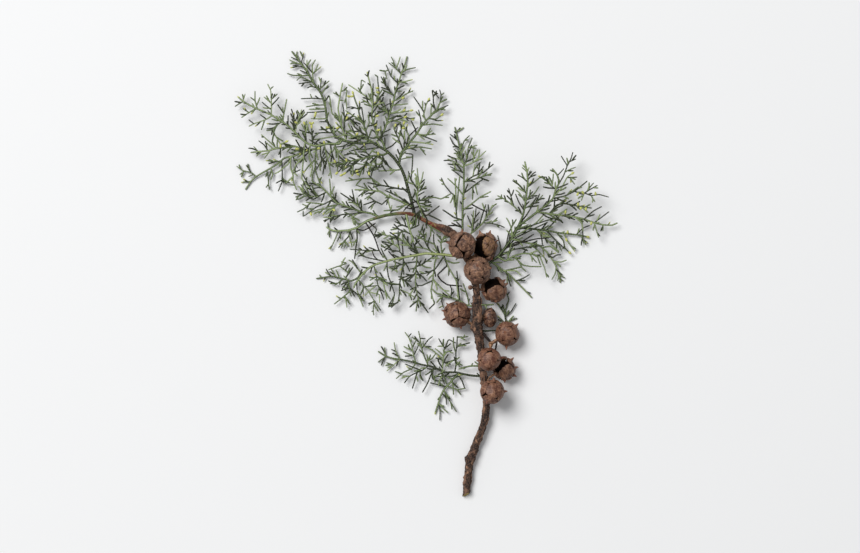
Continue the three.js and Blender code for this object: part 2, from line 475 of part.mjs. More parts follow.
// A side shoot that grows from the nearest limb already placed in its spray
function placeShoot(route, limbs, slope) {
  const base = nearestOn(limbs, route[0].x, route[0].y).point;
  const listed = thinned([{ x: base.x, y: base.y }, ...route.slice(1)], STRAIGHT_ENOUGH);
  const whole = routeLength(listed);
  let gone = 0;
  const points = listed.map((p, i) => {
    if (i > 0) gone += Math.hypot(p.x - listed[i - 1].x, p.y - listed[i - 1].y);
    const height = Math.max(base.z + slope * (gone / whole), SHOOT_RADIUS);
    return new THREE.Vector3(p.x, p.y, height);
  });
  const tip = route[route.length - 1].pollen ? POLLEN_CONE_RADIUS : SHOOT_TIP_RADIUS;
  const radii = points.map((_, i) => (i === points.length - 1 ? tip : SHOOT_RADIUS));
  return { points, radii, sides: SHOOT_SIDES };
}

function placeSpray(spray, carrier) {
  const limbs = [placeAxis(spray, carrier)];
  readRoutes(spray.shoots)
    .filter((route) => routeLength(route) >= SHORTEST_SHOOT)
    .forEach((route, i) => limbs.push(placeShoot(route, limbs, SHOOT_SLOPES[i % SHOOT_SLOPES.length])));
  return limbs;
}

function fromRows(rows, sides) {
  return {
    points: rows.map(([x, y, z]) => new THREE.Vector3(x, y, z)),
    radii: rows.map((row) => row[3]),
    sides,
  };
}

// A round cone with its stalk; an open cone has a hollow where its scales gape
function coneSolid(cone, stemLimbs) {
  const centre = new THREE.Vector3(...cone.centre);
  const size = Array.isArray(cone.size) ? cone.size : [cone.size, cone.size, cone.size];
  const ball = new THREE.SphereGeometry(1, CONE_SEGMENTS, CONE_RINGS);
  ball.rotateZ(THREE.MathUtils.degToRad(cone.turn));
  ball.scale(...size);
  ball.translate(...cone.centre);
  let body = toSolid(ball);
  if (cone.gape) {
    const hollow = new THREE.SphereGeometry(cone.size * GAPE_SIZE, CONE_SEGMENTS, CONE_RINGS);
    hollow.translate(...centre.clone().add(new THREE.Vector3(...cone.gape)));
    body = body.subtract(toSolid(hollow));
  }
  const root = nearestOn(stemLimbs, cone.seat[0], cone.seat[1]);
  const inner = centre.clone().lerp(root.point, 0.5 * (Math.min(...size) / centre.distanceTo(root.point)));
  const start = seatOn(root.point, root.direction, root.radius, inner, STALK_RADIUS);
  return body.add(toSolid(limb([start, inner], [STALK_RADIUS, STALK_RADIUS], AXIS_SIDES)));
}

function addNode(name, solid, material) {
  const mesh = new THREE.Mesh(toGeometry(solid), material);
  mesh.name = name;
  group.add(mesh);
}

const group = new THREE.Group();
const placed = {};

// The stem, with the small twig of the cones grown onto it
const stemLimbs = [fromRows(STEM, STEM_SIDES), fromRows(CONE_TWIG, AXIS_SIDES)];
placed.main_stem = [stemLimbs[0]];
addNode('main_stem', joined(stemLimbs.map((part) => limb(part.points, part.radii, part.sides))), BARK);

for (const spray of SPRAYS) {
  const limbs = placeSpray(spray, placed[spray.carrier]);
  placed[spray.name] = limbs;
  addNode(spray.name, joined(limbs.map((part) => limb(part.points, part.radii, part.sides))), FOLIAGE);
}

for (const cone of CONES) {
  addNode(cone.name, coneSolid(cone, stemLimbs), CONE);
}

export default group;
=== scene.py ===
"""A cut cypress sprig with round woody cones, lying on a pale surface and seen from above.

Every piece is a surface worked out with numpy: shoots are tubes of overlapping scale leaves
carried along a path, cones are shields on a ball, and the stem is a tube with bark relief.
Routes are texts of given "x,y" points in millimetres. A star marks a tip that ends in a
pollen cone, and an exclamation mark after a route marks a dark shoot: some are dead, others are painted near
black as shade.
"""
import logging
from dataclasses import dataclass, field
from enum import Enum

import bpy
import numpy as np
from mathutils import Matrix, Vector


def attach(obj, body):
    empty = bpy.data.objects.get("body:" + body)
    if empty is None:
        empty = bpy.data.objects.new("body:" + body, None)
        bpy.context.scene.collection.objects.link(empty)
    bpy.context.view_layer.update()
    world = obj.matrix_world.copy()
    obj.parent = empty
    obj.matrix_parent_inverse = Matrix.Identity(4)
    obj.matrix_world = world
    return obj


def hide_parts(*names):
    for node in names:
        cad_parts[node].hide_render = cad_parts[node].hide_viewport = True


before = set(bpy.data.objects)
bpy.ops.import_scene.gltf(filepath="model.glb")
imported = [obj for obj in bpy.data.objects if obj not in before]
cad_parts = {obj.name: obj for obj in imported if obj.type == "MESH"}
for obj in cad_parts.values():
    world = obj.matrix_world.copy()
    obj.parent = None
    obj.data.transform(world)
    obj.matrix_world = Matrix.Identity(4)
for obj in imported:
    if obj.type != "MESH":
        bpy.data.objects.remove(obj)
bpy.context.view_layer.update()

log = logging.getLogger("sprig")

MM = 0.001
UP = np.array([0.0, 0.0, 1.0])
TINY = 1e-3

# Numbers of the sockets of Blender's colour mix node
MIX_SHARE = 0
MIX_FIRST = 6
MIX_SECOND = 7
MIX_RESULT = 2

# How finely shoots are drawn: length of a step in millimetres, and points round them
RING_STEP = 0.55
SHOOT_COLUMNS = 8
TWIGLET_COLUMNS = 6

# Shape of the shoots, in millimetres or as parts of a shoot's own radius
SHOOT_RADIUS = 0.65
SHOOT_TAPER = 0.22
INNER_SWELL = 1.06
OUTER_SLIM = 0.24
SHOOT_VARIETY = (0.93, 1.08)
SHOOT_SWAY = 0.3
SWAY_FULL_FROM = 12.0
SHOOT_SLOPES = (0.5, -0.4, 0.3, -0.5, 0.0)
CORNER_EASE = 3.0
REST_HEIGHT = 0.03
TIP_ROUND = 1.0
TIP_SLIM = 0.02
LEAF_PERIOD = 2.0
LEAF_VARIETY = (0.9, 1.1)
LEAF_RISE = 0.8
LEAF_BASE = 0.9
LEAF_LIFT = 0.2
POLLEN_RADIUS = 0.95
POLLEN_LENGTH = 2.8
POLLEN_RISE = 1.2
YELLOW_TIP_LENGTH = 2.2
YELLOW_STRENGTH = 1.6

# Twiglets: how they stand on a shoot, in millimetres, degrees or parts of their spacing
TWIGLET_FIRST = (0.5, 1.0)
TWIGLET_END = 3.0
TWIGLET_LEAN = (18, 42)
TWIGLET_SHORTER = 0.45
TWIGLET_BEND = 0.08
TWIGLET_RISE = (-0.7, 1.3)
TWIGLET_TAPER = (1.0, 0.95, 0.85)
TWIGLET_JITTER = (0.6, 1.4)
TWIGLET_SPARSE = 4.2
TWIGLET_CLEAR = 1.1
TWIGLET_CLEAR_CROWDED = 0.7
TWIGLET_LONGER_CROWDED = 1.4

# Tones of the shoots, from 0 dark to 1 light: shares of dark shoots and steps of tone
# Dark shoots are partly old ones and partly shoots painted dark as the shade of other shoots; the larger
# share in the crowded parts is painted shade.
DARK_SHARE = 0.33
PAINTED_SHADE_SHARE_CROWDED = 0.62
DARK_STEP = -0.85
TONE_VARIETY = 0.15
TONE_RANGE = (-0.2, 1)
TIP_LIGHTER = 0.2
TIP_LIGHTER_FROM = 25.0
# The top of each shoot is painted lighter by the angle round it, as painted light.
PAINTED_TOP_LIGHT = 0.9
# Raised leaf tips are lighter: partly paler leaf tips and partly a painted highlight.
LEAF_TIP_PALE_AND_HIGHLIGHT = 0.4
# Darkens every shoot, so that with the term above its sides and underside carry painted shade.
PAINTED_SIDE_SHADE = -0.8
# Look of shoots marked dead, and of those painted dark as shade.
DEAD_OR_SHADED_LOOK = 0.85

# Crowded parts of the foliage, where twiglets stand closest: x, y and reach in millimetres
CROWDED = (
    (-100, 101, 10), (-86, 98, 10), (-72, 98, 11), (-56, 97, 13), (-62, 113, 11), (-46, 112, 11),
    (-38, 128, 12), (-98, 66, 8), (-85, 66, 8), (-38, 66, 10), (-21, 66, 10), (-6, 62, 8),
    (-84, 112, 12), (-44, 82, 12), (-116, 113, 8), (-101, 114, 11), (-20, 68, 9), (-30, 92, 9),
    (-21, 113, 12), (-21, 99, 11), (-5, 52, 9), (78, 16, 7), (88, 30, 7), (100, 47, 11), (98, 62, 12),
    (112, 50, 12), (84, 50, 10), (66, 26, 6), (66, 56, 8), (-12, -5, 9), (-45, 10, 9), (-40, 105, 11),
    (-68, 50, 10), (-37, 34, 10), (-21, 34, 11), (-21, 18, 11), (-5, -13, 10), (-5, 16, 10), (-4, 3, 9),
    (-52, 50, 9), (44, 82, 8), (118, 50, 8), (70, 8, 6), (-28, 145, 9), (22, 84, 8), (47, 50, 9),
    (-20, 10, 8), (-2, 22, 8), (-34, -6, 9), (-16, -14, 8), (4, 4, 7), (-40, 22, 7), (14, -76, 10),
    (32, 88, 8),
)

# Stem: centre line x, y, height and radius in millimetres, close to the solid's
STEM_ROWS = (
    (32, -177, 3, 3), (33, -168, 3.1, 3), (34.3, -155, 3.6, 3), (35.5, -148, 4, 3.8),
    (38.5, -140, 4.5, 2.9), (42.5, -130, 5.2, 2.9), (45.5, -122, 5.8, 2.9), (47.5, -114, 6.3, 2.9),
    (48.5, -100, 6.8, 2.8), (47, -92, 7, 2.8), (45.5, -80, 7.6, 3), (44, -62, 8.4, 3),
    (42, -50, 9.4, 3.5), (41, -45, 9.8, 4), (41, -33, 10, 4), (40.5, -25, 10, 3.5),
    (40.3, -15, 9.5, 2.8), (38, 0, 9, 2.5), (34, 10, 9, 2.8), (29, 20, 9, 3.3),
    (22, 30, 9, 3.5), (17, 34, 9, 3.5), (12, 36, 8.8, 2.4), (2, 40, 8.5, 1.7),
    (-8, 46, 8, 1.6), (-15, 47.5, 8, 1.5), (-22, 47.5, 7.8, 1.4), (-32, 46, 7.5, 1.25), (-42, 43, 7, 1.15),
)
CONE_TWIG_ROWS = ((42, -45, 9.8, 1.6), (48, -51, 9.6, 1.1), (53, -57, 9.4, 1.0))
FORK_TWIG_ROWS = ((56.5, -53.6, 10.2, 0.7), (55.6, -58.0, 15.0, 0.8), (54.4, -62.6, 23.5, 0.6))

# Stem: its knots, x, y, reach and how far they stand out, and the places where its bark has
# peeled, x, y and reach, in millimetres
STEM_KNOTS = (
    (31.3, -147.5, 2.2, 1.2), (41.5, -142, 2.0, 1.0), (17, 34, 4.0, 0.5), (13, 38, 1.5, 0.6),
    (37.2, -18.9, 1.1, 0.9), (37, -25, 1.2, 0.7), (36.4, -29.5, 1.1, 0.8), (44.9, -34, 1.0, 0.7),
    (36.6, -44.5, 2.4, 1.3), (39.5, -55, 1.1, 0.7), (47, -57, 1.0, 0.6), (41.5, -66, 1.3, 0.7),
    (48, -84, 1.2, 0.7), (43.5, -88, 1.0, 0.7), (51, -104, 1.0, 0.6), (44.7, -117, 1.0, 0.6),
    (49.5, -116, 1.1, 0.5), (39, -128, 1.0, 0.6), (44.5, -133, 1.0, 0.5), (30.5, -163, 1.1, 0.5),
)
STEM_PATCHES = (
    (46.5, -108, 1.5), (48, -101, 1.3), (40, -134, 1.7), (37, -152, 1.4), (32.5, -155, 1.5),
    (33, -159, 1.3), (41.4, -38.4, 1.3), (41.4, -33, 1.6), (38.5, -44.5, 1.8), (42.5, -19, 1.4),
)

# Cones: sides of a scale from its rim inwards, as (angle as a part of the edge's, distance as a
# part of the cone's radius), first for a sound scale, whose first row follows from its kind's rim,
# and then for one whose side has split open; then how light these five rows are painted, darker
# deeper in as painted shade, for both
PLAIN_SIDES = ((0.95, 0.84), (0.75, 0.64), (0.4, 0.46), (0.3, 0.3))
SPLIT_SIDES = ((1.08, 0.92), (1.26, 0.82), (1.36, 0.68), (1.1, 0.5), (0.4, 0.3))
SIDE_PAINTED_SHADE = (0.55, 0.2, 0.08, 0.05, 0.05)
SPLIT_SIDE_PAINTED_SHADE = (1, 0.95, 0.85, 0.3, 0.1)

# Cones: widest reach of a scale in radians and power of the soft minimum that gives its edge
WIDEST_SCALE = 1.15
SOFT_POWER = -10.0

# Cones: rings of scales on the hidden underside, as elevation in degrees, count and turn
LOWER_RINGS = ((-12, 6, 0.0), (-55, 4, 0.5), (-90, 1, 0.0))
LEAST_APART = 42

# Cones: weights of a scale's slow swells, veins, fine grain and streaks in its relief and look
RELIEF_WEIGHTS = (0.75, 0.45, 0.2, 0.22)
LOOK_WEIGHTS = (0.08, 0.36, 0.11, 0.13)

# Cones: the core, painted near black as shade, and the stalk
CORE_COLUMNS = 24
CORE_ROWS = 14
CORE_END = 0.08
CORE_PAINTED_SHADE = 0.05
STALK_COLUMNS = 14
STALK_STEP = 0.5
STALK_EASE = 4.0


def srgb(code: str) -> tuple[float, float, float, float]:
    """A linear colour from an sRGB hex code.

    Args:
        code: Six hex digits, such as "7d5f4e".

    Returns:
        Linear red, green, blue and an alpha of 1.
    """
    value = np.array([int(code[i:i + 2], 16) for i in (0, 2, 4)]) / 255
    linear = np.where(value <= 0.04045, value / 12.92, ((value + 0.055) / 1.055) ** 2.4)
    return (*linear.tolist(), 1.0)


class ShaderGraph:
    """The shader nodes of one new material, added one by one.

    An output is passed on as a pair of its node and its name or number there.
    """

    def __init__(self, name: str) -> None:
        """Starts a material with the place on the piece, in Object coordinates."""
        self.material = bpy.data.materials.new(name)
        self.material.use_nodes = True
        self.tree = self.material.node_tree
        self.tree.nodes.clear()
        self.place = self.add("TexCoord", "Object", {})

    def add(self, kind: str, output: str | int, inputs: dict, **settings) -> tuple:
        """Adds a shader node, sets it up and links its inputs.

        Args:
            kind: The node's type name without "ShaderNode".
            output: Name or number of the output to return.
            inputs: Input name or number to a value, or to the output of another node.
            settings: Properties of the node itself.

        Returns:
            The node and its output.
        """
        node = self.tree.nodes.new("ShaderNode" + kind)
        for name, value in settings.items():
            setattr(node, name, value)
        for name, value in inputs.items():
            if isinstance(value, tuple) and isinstance(value[0], bpy.types.Node):
                self.tree.links.new(value[0].outputs[value[1]], node.inputs[name])
            else:
                node.inputs[name].default_value = value
        return node, output

    def looks(self) -> list[tuple]:
        """Outputs with the four numbers of the piece's look."""
        look, colour = self.add("Attribute", "Color", {}, attribute_name="look")
        parts, _ = self.add("SeparateColor", "Red", {"Color": (look, colour)})
        return [(parts, "Red"), (parts, "Green"), (parts, "Blue"), (look, "Alpha")]

    def noise(self, size: float, detail: float, distortion: float = 0.0) -> tuple:
        """Cloudy noise of 0 to 1 whose largest patches have the given size in metres."""
        inputs = {"Vector": self.place, "Scale": 1 / size, "Detail": detail, "Distortion": distortion}
        return self.add("TexNoise", "Fac", inputs)

    def calculate(self, operation: str, *values: float | tuple) -> tuple:
        """The result of a Math node's operation on values or outputs."""
        return self.add("Math", 0, dict(enumerate(values)), operation=operation)

    def mapped(self, value: tuple, low: float, high: float, start: float = 0.0, end: float = 1.0) -> tuple:
        """Maps the range low to high onto start to end and holds it at its ends."""
        inputs = {"Value": value, "From Min": low, "From Max": high, "To Min": start, "To Max": end}
        return self.add("MapRange", 0, inputs)

    def mix(self, share: float | tuple, first: str | tuple, second: str | tuple) -> tuple:
        """Mixes two colours, each a hex code or an output, by the share of the second."""
        inputs = {
            MIX_SHARE: share,
            MIX_FIRST: srgb(first) if isinstance(first, str) else first,
            MIX_SECOND: srgb(second) if isinstance(second, str) else second,
        }
        return self.add("Mix", MIX_RESULT, inputs, data_type="RGBA")

    def finish(
        self, colour: tuple, roughness: float, bump: tuple[tuple, float, float] | None = None, **sockets,
    ) -> bpy.types.Material:
        """Ends the material with a Principled shader.

        Args:
            colour: Output with the base colour.
            roughness: The surface's roughness.
            bump: Output with the height of the bump, its distance in metres and its strength.
            sockets: More inputs of the shader, with underscores for the spaces in their names.

        Returns:
            The material.
        """
        inputs = {"Base Color": colour, "Roughness": roughness}
        inputs.update({name.replace("_", " "): value for name, value in sockets.items()})
        if bump:
            settings = {"Height": bump[0], "Distance": bump[1], "Strength": bump[2]}
            inputs["Normal"] = self.add("Bump", 0, settings)
        shader = self.add("BsdfPrincipled", 0, inputs)
        self.add("OutputMaterial", 0, {"Surface": shader})
        return self.material


def waves(points: np.ndarray, size: float, seed: int, layers: int) -> np.ndarray:
    """Smooth uneven bumps: sine waves in random directions, each layer half as long and half as high.

    Args:
        points: (..., 3) places.
        size: Length of the longest wave, in the units of the places.
        seed: Seed of the directions and phases.
        layers: How many layers are summed.

    Returns:
        (...) heights of about -1 to 1.
    """
    rng = np.random.default_rng(seed)
    total = np.zeros(points.shape[:-1])
    for layer in range(layers):
        directions = rng.normal(size=(7, 3))
        directions /= np.linalg.norm(directions, axis=1, keepdims=True)
        phases = rng.uniform(0, 2 * np.pi, 7)
        turns = points @ directions.T * (2 * np.pi * 2 ** layer / size) + phases
        total += np.sin(turns).mean(axis=-1) * 1.8 / 2 ** layer
    return total


def looks_of(
    first: np.ndarray | float, second: np.ndarray | float = 0.0,
    third: np.ndarray | float = 0.0, fourth: np.ndarray | float = 0.0,
) -> np.ndarray:
    """The four numbers of the looks, each an array or the same everywhere, as one array."""
    return np.stack(np.broadcast_arrays(first, second, third, fourth), axis=-1)


@dataclass
class Surface:
    """Points, faces and per-point looks gathered for one piece.

    The four numbers of a look mean what the piece's finish says they mean.
    """

    points: list[np.ndarray] = field(default_factory=list)
    quads: list[np.ndarray] = field(default_factory=list)
    triangles: list[np.ndarray] = field(default_factory=list)
    looks: list[np.ndarray] = field(default_factory=list)
    count: int = 0

    def add_rings(self, rings: np.ndarray, looks: np.ndarray) -> None:
        """Adds a closed tube: quads between rings and a fan of triangles to a pole at each end.

        Points that would sink into the surface the sprig lies on are laid flat on it.

        Args:
            rings: (rows, columns, 3) points in millimetres, columns turning about the way ahead.
            looks: (rows, columns, 4) looks.
        """
        rings = rings.copy()
        rings[..., 2] = np.maximum(rings[..., 2], REST_HEIGHT)
        rows, columns = rings.shape[:2]
        poles = rings[[0, -1]].mean(axis=1)
        self.points.append(np.concatenate([rings.reshape(-1, 3), poles]))
        self.looks.append(np.concatenate([looks.reshape(-1, 4), looks[[0, -1]].mean(axis=1)]))
        corner = np.arange(rows * columns).reshape(rows, columns) + self.count
        beside = np.roll(corner, -1, axis=1)
        quads = np.stack([corner[:-1], corner[1:], beside[1:], beside[:-1]], axis=-1)
        self.quads.append(quads.reshape(-1, 4))
        first = self.count + rows * columns
        base = np.stack([corner[0], beside[0], np.full(columns, first)], axis=-1)
        tip = np.stack([beside[-1], corner[-1], np.full(columns, first + 1)], axis=-1)
        self.triangles.append(np.concatenate([base, tip]))
        self.count = first + 2

    def make(self, name: str, material: bpy.types.Material) -> bpy.types.Object:
        """Makes the piece's object, in metres, at the origin.

        Args:
            name: Name of the object.
            material: Its finish.

        Returns:
            The new object, linked to the scene.
        """
        quads = np.concatenate(self.quads)
        triangles = np.concatenate(self.triangles)
        corners = np.concatenate([quads.ravel(), triangles.ravel()])
        starts = np.concatenate([np.arange(len(quads)) * 4, len(quads) * 4 + np.arange(len(triangles)) * 3])
        points = np.concatenate(self.points) * MM
        mesh = bpy.data.meshes.new(name)
        mesh.vertices.add(len(points))
        mesh.vertices.foreach_set("co", points.ravel())
        mesh.loops.add(len(corners))
        mesh.loops.foreach_set("vertex_index", corners)
        mesh.polygons.add(len(starts))
        mesh.polygons.foreach_set("loop_start", starts)
        mesh.polygons.foreach_set("use_smooth", np.ones(len(starts), dtype=bool))
        mesh.update(calc_edges=True)
        look = mesh.attributes.new("look", "FLOAT_COLOR", "POINT")
        look.data.foreach_set("color", np.concatenate(self.looks).ravel().astype(np.float32))
        mesh.materials.append(material)
        piece = bpy.data.objects.new(name, mesh)
        bpy.context.scene.collection.objects.link(piece)
        return piece


def around(columns: int) -> np.ndarray:
    """Angles of the points of a ring."""
    return 2 * np.pi * np.arange(columns) / columns


def along_path(points: np.ndarray) -> np.ndarray:
    """Distance along a path, from 0 at its first point to 1 at its last."""
    spans = np.linalg.norm(np.diff(points, axis=0), axis=1)
    gone = np.concatenate([[0], np.cumsum(spans)])
    return gone / gone[-1]


def even_path(corners: np.ndarray, step: float, ease: float) -> np.ndarray:
    """Points at an even step along a broken line, with its corners eased.

    Each point is the average of the points within half the ease length of it; the ends are
    carried on by point reflection, so they stay where they are.

    Args:
        corners: (k, 3) points of the line.
        step: Distance between the new points.
        ease: Length that the average runs over.

    Returns:
        (n, 3) points.
    """
    spans = np.linalg.norm(np.diff(corners, axis=0), axis=1)
    along = np.concatenate([[0], np.cumsum(spans)])
    count = max(int(along[-1] / step) + 1, 6)
    places = np.linspace(0, along[-1], count)
    path = np.stack([np.interp(places, along, corners[:, i]) for i in range(3)], axis=1)
    half = min(max(int(ease / step / 2), 1), count - 2)
    head = 2 * path[0] - path[half:0:-1]
    tail = 2 * path[-1] - path[-2:-half - 2:-1]
    padded = np.concatenate([head, path, tail])
    kernel = np.full(2 * half + 1, 1 / (2 * half + 1))
    return np.stack([np.convolve(padded[:, i], kernel, "valid") for i in range(3)], axis=1)


def path_frames(path: np.ndarray) -> tuple[np.ndarray, np.ndarray]:
    """Sideways and upright directions at each point of a path that never runs straight up.

    Args:
        path: (n, 3) points.

    Returns:
        Two (n, 3) arrays of unit vectors, both square to the path.
    """
    ahead = np.gradient(path, axis=0)
    ahead /= np.linalg.norm(ahead, axis=1, keepdims=True)
    across = np.cross(ahead, UP)
    across /= np.linalg.norm(across, axis=1, keepdims=True)
    return across, np.cross(across, ahead)


def swept_rings(path: np.ndarray, radii: np.ndarray) -> np.ndarray:
    """Rings of points about a path: centre + radius * (cos angle * across + sin angle * upright).

    Args:
        path: (n, 3) centre line.
        radii: (n, columns) distance of each point from the centre line.

    Returns:
        (n, columns, 3) points.
    """
    across, upright = path_frames(path)
    angle = around(radii.shape[1])
    outward = np.cos(angle)[None, :, None] * across[:, None] + np.sin(angle)[None, :, None] * upright[:, None]
    return path[:, None] + outward * radii[:, :, None]


@dataclass(frozen=True)
class FoliageFinish:
    """Scale leaves of cypress: waxy living foliage, air dried.

    Gives the eye a satin grey-green that runs from almost black to pale bloomed tips. Old shoots
    are dark; the undersides and sides of the shoots, and shoots in the shade of others, carry painted
    shade, their tops painted light, and raised leaf tips are paler, partly with a painted highlight.
    It has yellow pollen cones, and a few dead brown shoots and shoots painted near black as shade.
    Look: tone 0 dark to 1 light with painted light and shade, pollen cone, dead or shaded shoot,
    leaf tip paleness and highlight.
    """

    dark: str = "0f130b"
    middle: str = "57673e"
    light: str = "a3b181"
    # Pale colour of the raised leaf tips: partly their own paler colour, partly a painted highlight.
    leaf_tip_pale_and_highlight: str = "9aa77c"
    leaf_tip_pale_and_highlight_share: float = 0.4
    pollen: str = "c9cb72"
    # Near black brown of dead shoots and of shoots painted dark as shade.
    dead_or_shaded: str = "1d1712"
    patch_size: float = 9 * MM
    patch_strength: float = 0.55
    grain_size: float = 0.5 * MM
    grain_height: float = 0.05 * MM
    roughness: float = 0.68

    def material(self) -> bpy.types.Material:
        """Builds the finish: colours mixed by look, with slow patches and a fine bump."""
        graph = ShaderGraph("cypress_scale_leaves")
        light, pollen, dead_or_shaded, lifted = graph.looks()
        patches = graph.noise(self.patch_size, 3.0)
        shifted = graph.calculate("MULTIPLY_ADD", patches, self.patch_strength, light)
        tone = graph.calculate("SUBTRACT", shifted, self.patch_strength / 2)
        shade = graph.mix(graph.mapped(tone, 0.0, 0.5), self.dark, self.middle)
        sunlit = graph.mix(graph.mapped(tone, 0.5, 1.0), shade, self.light)
        # Raised leaf tips mixed towards a pale colour: partly their own paler colour, partly a painted
        # highlight.
        edge = graph.calculate("MULTIPLY", lifted, self.leaf_tip_pale_and_highlight_share)
        tipped = graph.mix(edge, sunlit, self.leaf_tip_pale_and_highlight)
        yellow = graph.mix(pollen, tipped, self.pollen)
        # Dead shoots, and shoots painted near black as shade, turn a dark brown.
        brown = graph.mix(dead_or_shaded, yellow, self.dead_or_shaded)
        grain = graph.noise(self.grain_size, 2.0)
        return graph.finish(brown, self.roughness, (grain, self.grain_height, 0.5), IOR=1.32)


@dataclass(frozen=True)
class ConeFinish:
    """Dry cypress cone wood, weathered on the tree.

    Gives the eye a matt grey-brown with fine pale curling lines and orange points, painted shade
    along the rims of the scales, golden sides where a scale has split open, and depths painted
    near black as shade, which don't shine.
    Look: outer face, lower where shade is painted, orange point, split side, height of the wrinkles.
    """

    hollow: str = "36180e"
    ridge: str = "b88c6e"
    painted_shade: str = "0c0807"
    point: str = "78422c"
    side: str = "8f6a44"
    wrinkle_size: float = 3.4 * MM
    wrinkle_height: float = 0.45 * MM
    wrinkle_strength: float = 0.26
    ridge_range: tuple[float, float] = (0.4, 1.2)
    curl_size: float = 3.0 * MM
    curl_width: float = 0.03
    curl_strength: float = 0.4
    roughness: float = 0.55

    def material(self) -> bpy.types.Material:
        """Builds the finish: wrinkle colours and pale lines, then points, sides and depths by look."""
        graph = ShaderGraph("cypress_cone_wood")
        outer, point, split, relief = graph.looks()
        wrinkles = graph.noise(self.wrinkle_size, 2.5, 1.2)
        mixed = graph.calculate("MULTIPLY_ADD", wrinkles, self.wrinkle_strength, relief)
        height = graph.mapped(mixed, *self.ridge_range)
        centred = graph.calculate("SUBTRACT", graph.noise(self.curl_size, 1.5, 1.4), 0.5)
        folded = graph.calculate("ABSOLUTE", centred)
        line = graph.mapped(folded, 0.0, self.curl_width, self.curl_strength, 0.0)
        wood = graph.mix(graph.calculate("ADD", height, line), self.hollow, self.ridge)
        orange = graph.mix(point, wood, self.point)
        sides = graph.mix(split, orange, self.side)
        # Painted shade: the depths, inner sides, core and scale rims are mixed towards near black by the
        # first look number.
        painted_depth_shade = graph.mix(outer, self.painted_shade, sides)
        # Shine falls with that painted shade, so the painted depths don't reflect.
        shine = graph.calculate("MULTIPLY", outer, 0.5)
        bump = (wrinkles, self.wrinkle_height, 0.62)
        return graph.finish(painted_depth_shade, self.roughness, bump, IOR=1.5, Specular_IOR_Level=shine)


@dataclass(frozen=True)
class BarkFinish:
    """Cypress bark on a young woody stem.

    Gives the eye a rough dark brown-grey with lighter ridges, pale tan patches where it has
    peeled, a red-brown young end that turns green, and a straw-coloured cut.
    Look: height of the bark, peeled patch, young red end, cut wood.
    """

    crack: str = "180e0b"
    ridge: str = "86644f"
    peeled: str = "b4886a"
    young: str = "702a20"
    young_fleck: str = "94824e"
    green: str = "5d6f42"
    cut: str = "a08a48"
    green_from: float = -14 * MM
    green_to: float = -26 * MM
    grain_size: float = 1.1 * MM
    grain_height: float = 0.3 * MM
    grain_strength: float = 1.5
    ridge_range: tuple[float, float] = (0.94, 1.86)
    fleck_size: float = 1.6 * MM
    fleck_range: tuple[float, float] = (0.5, 0.62)
    roughness: float = 0.85

    def material(self) -> bpy.types.Material:
        """Builds the finish: crack to ridge by height and grain, then patches by look."""
        graph = ShaderGraph("cypress_bark")
        height, peeled, young, cut = graph.looks()
        grain = graph.noise(self.grain_size, 5.0)
        mixed = graph.calculate("MULTIPLY_ADD", grain, self.grain_strength, height)
        bark = graph.mix(graph.mapped(mixed, *self.ridge_range), self.crack, self.ridge)
        patch = graph.mix(peeled, bark, self.peeled)
        fleck = graph.mapped(graph.noise(self.fleck_size, 3.0), *self.fleck_range)
        skin = graph.mix(fleck, self.young, self.young_fleck)
        along = graph.add("SeparateXYZ", "X", {"Vector": graph.place})
        far = graph.mapped(along, self.green_to, self.green_from, 1.0, 0.0)
        shoot = graph.mix(far, skin, self.green)
        red = graph.mix(young, patch, shoot)
        ends = graph.mix(cut, red, self.cut)
        return graph.finish(ends, self.roughness, (grain, self.grain_height, 0.8), IOR=1.5)


@dataclass(frozen=True)
class FloorFinish:
    """Matt white card.

    Gives the eye a plain pale ground with a faint mottle, which shows soft shadows.
    """

    colour: str = "f4f4f4"
    mottle: str = "e6e6e6"
    mottle_size: float = 40 * MM

    def material(self) -> bpy.types.Material:
        """Builds a plain matt white with a faint mottle."""
        graph = ShaderGraph("white_card")
        faint = graph.mapped(graph.noise(self.mottle_size, 2.0), 0.0, 1.0, 0.96, 1.0)
        return graph.finish(graph.mix(faint, self.mottle, self.colour), 0.9)


@dataclass
class Limb:
    """A placed limb: its centre line and radii in millimetres, and how it looks."""

    points: np.ndarray
    radii: np.ndarray
    pollen: bool = False
    dead_or_shaded: bool = False
    small: bool = False

    @classmethod
    def from_rows(cls, rows: tuple[tuple[float, ...], ...]) -> "Limb":
        """A limb from rows of x, y, height and radius."""
        table = np.array(rows, dtype=float)
        return cls(table[:, :3], table[:, 3])

    def radius_along(self, path: np.ndarray) -> np.ndarray:
        """Its radius at each of the (n, 3) points of a path that follows it."""
        return np.interp(along_path(path), along_path(self.points), self.radii)


@dataclass
class Route:
    """A listed route on the surface, read from its text."""

    points: np.ndarray
    pollen: bool
    dead_or_shaded: bool

    @classmethod
    def read(cls, text: str) -> "Route":
        """Reads one route, such as "3,4 5,6*" or "3,4 5,6 !"."""
        words = text.replace("*", "").replace("!", "").split()
        points = np.array([[float(value) for value in word.split(",")] for word in words])
        return cls(points, "*" in text, "!" in text)

    @classmethod
    def read_all(cls, text: str) -> list["Route"]:
        """Reads routes parted by semicolons."""
        return [cls.read(part) for part in text.split(";") if part.strip()]


